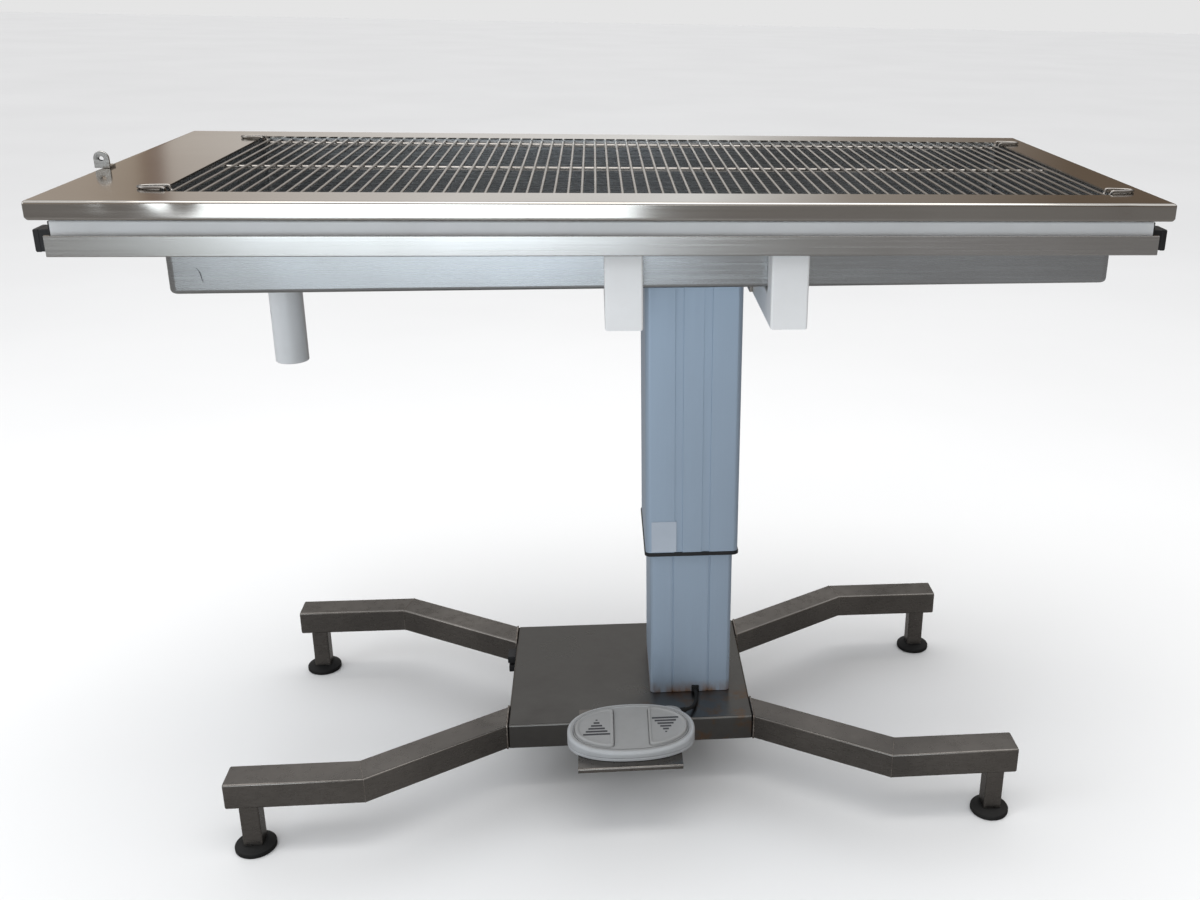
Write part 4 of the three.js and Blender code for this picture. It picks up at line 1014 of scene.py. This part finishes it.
def pedal(name, node, side):
    """A raised D-shaped pedal with an arrow of bars; side -1 points to the back and 1 to the front."""
    outline = [Vector(p) for p in pad_outline(side, PAD_SLOT)]
    middle = sum(outline, Vector((0, 0))) / len(outline)
    rings = []
    for inset, lift in PAD_RIM:
        spots = [p - (p - middle).normalized() * inset * 1.15 for p in outline]
        rings.append([(p.x, p.y, slope(p.y) + lift) for p in spots])
    make(name, loft(rings), node, "pedal_plastic", node)
    # The arrow's bars are thin dark strips just proud of the pedal: painted shade standing in for the shaded
    # slots of the arrow.
    bars = []
    for i, width in enumerate(ARROW_WIDTHS):
        y = SW_Y - side * (ARROW_TIP - i * ARROW_PITCH)
        x, w, d = SW_X + side * ARROW_X, width / 2, (3.4 if i else 2.6) / 2
        corners = [(x - w, y - d), (x + w, y - d), (x + w, y + d), (x - w, y + d)]
        bars.append(loft([[(px, py, slope(py) + lift) for px, py in corners] for lift in (2.4, 2.95)]))
    make(name + "_arrow", join(*bars), node, "scratch_and_painted_slot_shade")


TRAY_XS, TRAY_YS, TRAY_Z, TRAY_T, TRAY_LIP, TRAY_R = (-80, 77), (-284, -125), 128.3, 2, 7, 3


def switch_tray():
    """The bracket under the switch: a flat plate with its front edge folded down."""
    (x0, x1), (y0, y1), top = TRAY_XS, TRAY_YS, TRAY_Z + TRAY_T
    bend = (y0 + TRAY_R, top - TRAY_R)
    side = [(y1, TRAY_Z), (y1, top)] + arc(bend, TRAY_R, 90, 180, 5) + [(y0, top - TRAY_LIP)]
    side += [(y0 + TRAY_T, top - TRAY_LIP)] + arc(bend, TRAY_R - TRAY_T, 180, 90, 3)
    rings = [[(x, y, h) for y, h in side] for x in (x0, x0 + 0.01, x1 - 0.01, x1)]
    make("switch_tray", loft(rings), "base", "leg_steel", "switch_bracket")


switch_cable()
table_top()
wash_tub()
tub_scratch()
drain_pipe()
waste_socket()
grate()
tether_lug()
side_frame("front", -1)
side_frame("rear", 1)
cross_frame("left")
cross_frame("right")
column()
base_cover()
for end, sy in (("front", -1), ("rear", 1)):
    for hand, sx in (("left", -1), ("right", 1)):
        leg(f"{end}_{hand}", sx, sy)
        foot(f"{end}_{hand}", sx, sy)
mains_inlet()
switch_body()
pedal("pedal_rear_arrow", "pedal_up", -1)
pedal("pedal_front_arrow", "pedal_down", 1)
switch_tray()


# ---- finishes on the CAD parts that stay
slots = {row["node"]: row["material_slot"] for row in frame["record"]["subparts"]}
for node, part in frame["nodes"].items():
    part.data.materials.clear()
    part.data.materials.append(LOOKS[slots[node]])


# ---- studio
# The room as (place on the ramp, colour): along X for the walls, and upwards for the ceiling.
ROOM_WALLS = [
    (0, (0.60, 0.62, 0.65)), (0.32, (0.36, 0.31, 0.26)), (0.337, (0.30, 0.25, 0.20)),
    (0.342, (0.12, 0.07, 0.05)), (0.348, (0.42, 0.38, 0.34)), (0.44, (0.62, 0.60, 0.58)),
    (0.54, (0.70, 0.70, 0.69)), (0.60, (0.30, 0.27, 0.24)), (0.68, (0.12, 0.09, 0.065)),
    (1, (0.12, 0.09, 0.065)),
]
ROOM_CEILING = [
    (0, (0.25, 0.24, 0.23)), (0.5, (0.25, 0.24, 0.23)), (0.72, (0.9, 0.92, 0.95)), (1, (1, 1, 1)),
]
ROOM_STRENGTH, CEILING_FROM, CEILING_FULL = 1.35, 0.25, 0.4
# What the camera sees directly is paler than what the table reflects, as on a light photo backdrop.
BACKDROP, FLOOR_PALE, FLOOR_DARK = (0.58, 0.58, 0.58), (0.80, 0.83), (0.27, 0.262, 0.255)
FLOOR_SIZE = 60
# Name, place, aim, size (metres), power (watts), colour.
LAMPS = [
    ("window", (-0.85, -4.6, 1.1), (-0.4, 0, 0.9), (2.0, 2.3), 56, (0.82, 0.92, 1.0)),
    ("overhead", (0.0, -0.2, 4.2), (0, 0, 0), (3.5, 2.5), 70, (1.0, 0.99, 0.97)),
    ("left", (-3.4, -1.2, 2.2), (0, 0, 0.6), (1.8, 2.2), 26, (0.92, 0.96, 1.0)),
]


def studio_floor():
    bpy.ops.mesh.primitive_plane_add(size=FLOOR_SIZE, location=(0, 0, 0))
    floor = bpy.context.object
    floor.name = "floor"
    n = Finish("floor_paper", 0, 0.75)
    pale = n.mix(n.ranged(n.noise(0.8, 3), 0.3, 0.7), *(rgb(v, v, v) for v in FLOOR_PALE))
    floor.data.materials.append(n.done(n.mix(n.seen_directly(), rgb(*FLOOR_DARK), pale)))


def studio_room():
    world = bpy.data.worlds.new("studio")
    scene.world = world
    world.use_nodes = True
    n = Nodes(world.node_tree, "Generated")
    walls = n.ramp(n.ranged(n.axis("X"), -1, 1), ROOM_WALLS)
    height = n.axis("Z")
    room = n.mix(n.ranged(height, CEILING_FROM, CEILING_FULL), walls, n.ramp(height, ROOM_CEILING))
    background = n.tree.nodes["Background"]
    n.link(n.mix(n.seen_directly(), room, rgb(*BACKDROP)), background.inputs["Color"])
    background.inputs["Strength"].default_value = ROOM_STRENGTH


def studio_lamps():
    for name, place, aim, size, power, colour in LAMPS:
        data = bpy.data.lights.new(name, "AREA")
        data.shape, data.size, data.size_y, data.energy, data.color = "RECTANGLE", *size, power, colour
        lamp = bpy.data.objects.new(name, data)
        lamp.location = place
        lamp.rotation_euler = (Vector(place) - Vector(aim)).to_track_quat("Z", "Y").to_euler()
        scene.collection.objects.link(lamp)


studio_floor()
studio_room()
studio_lamps()
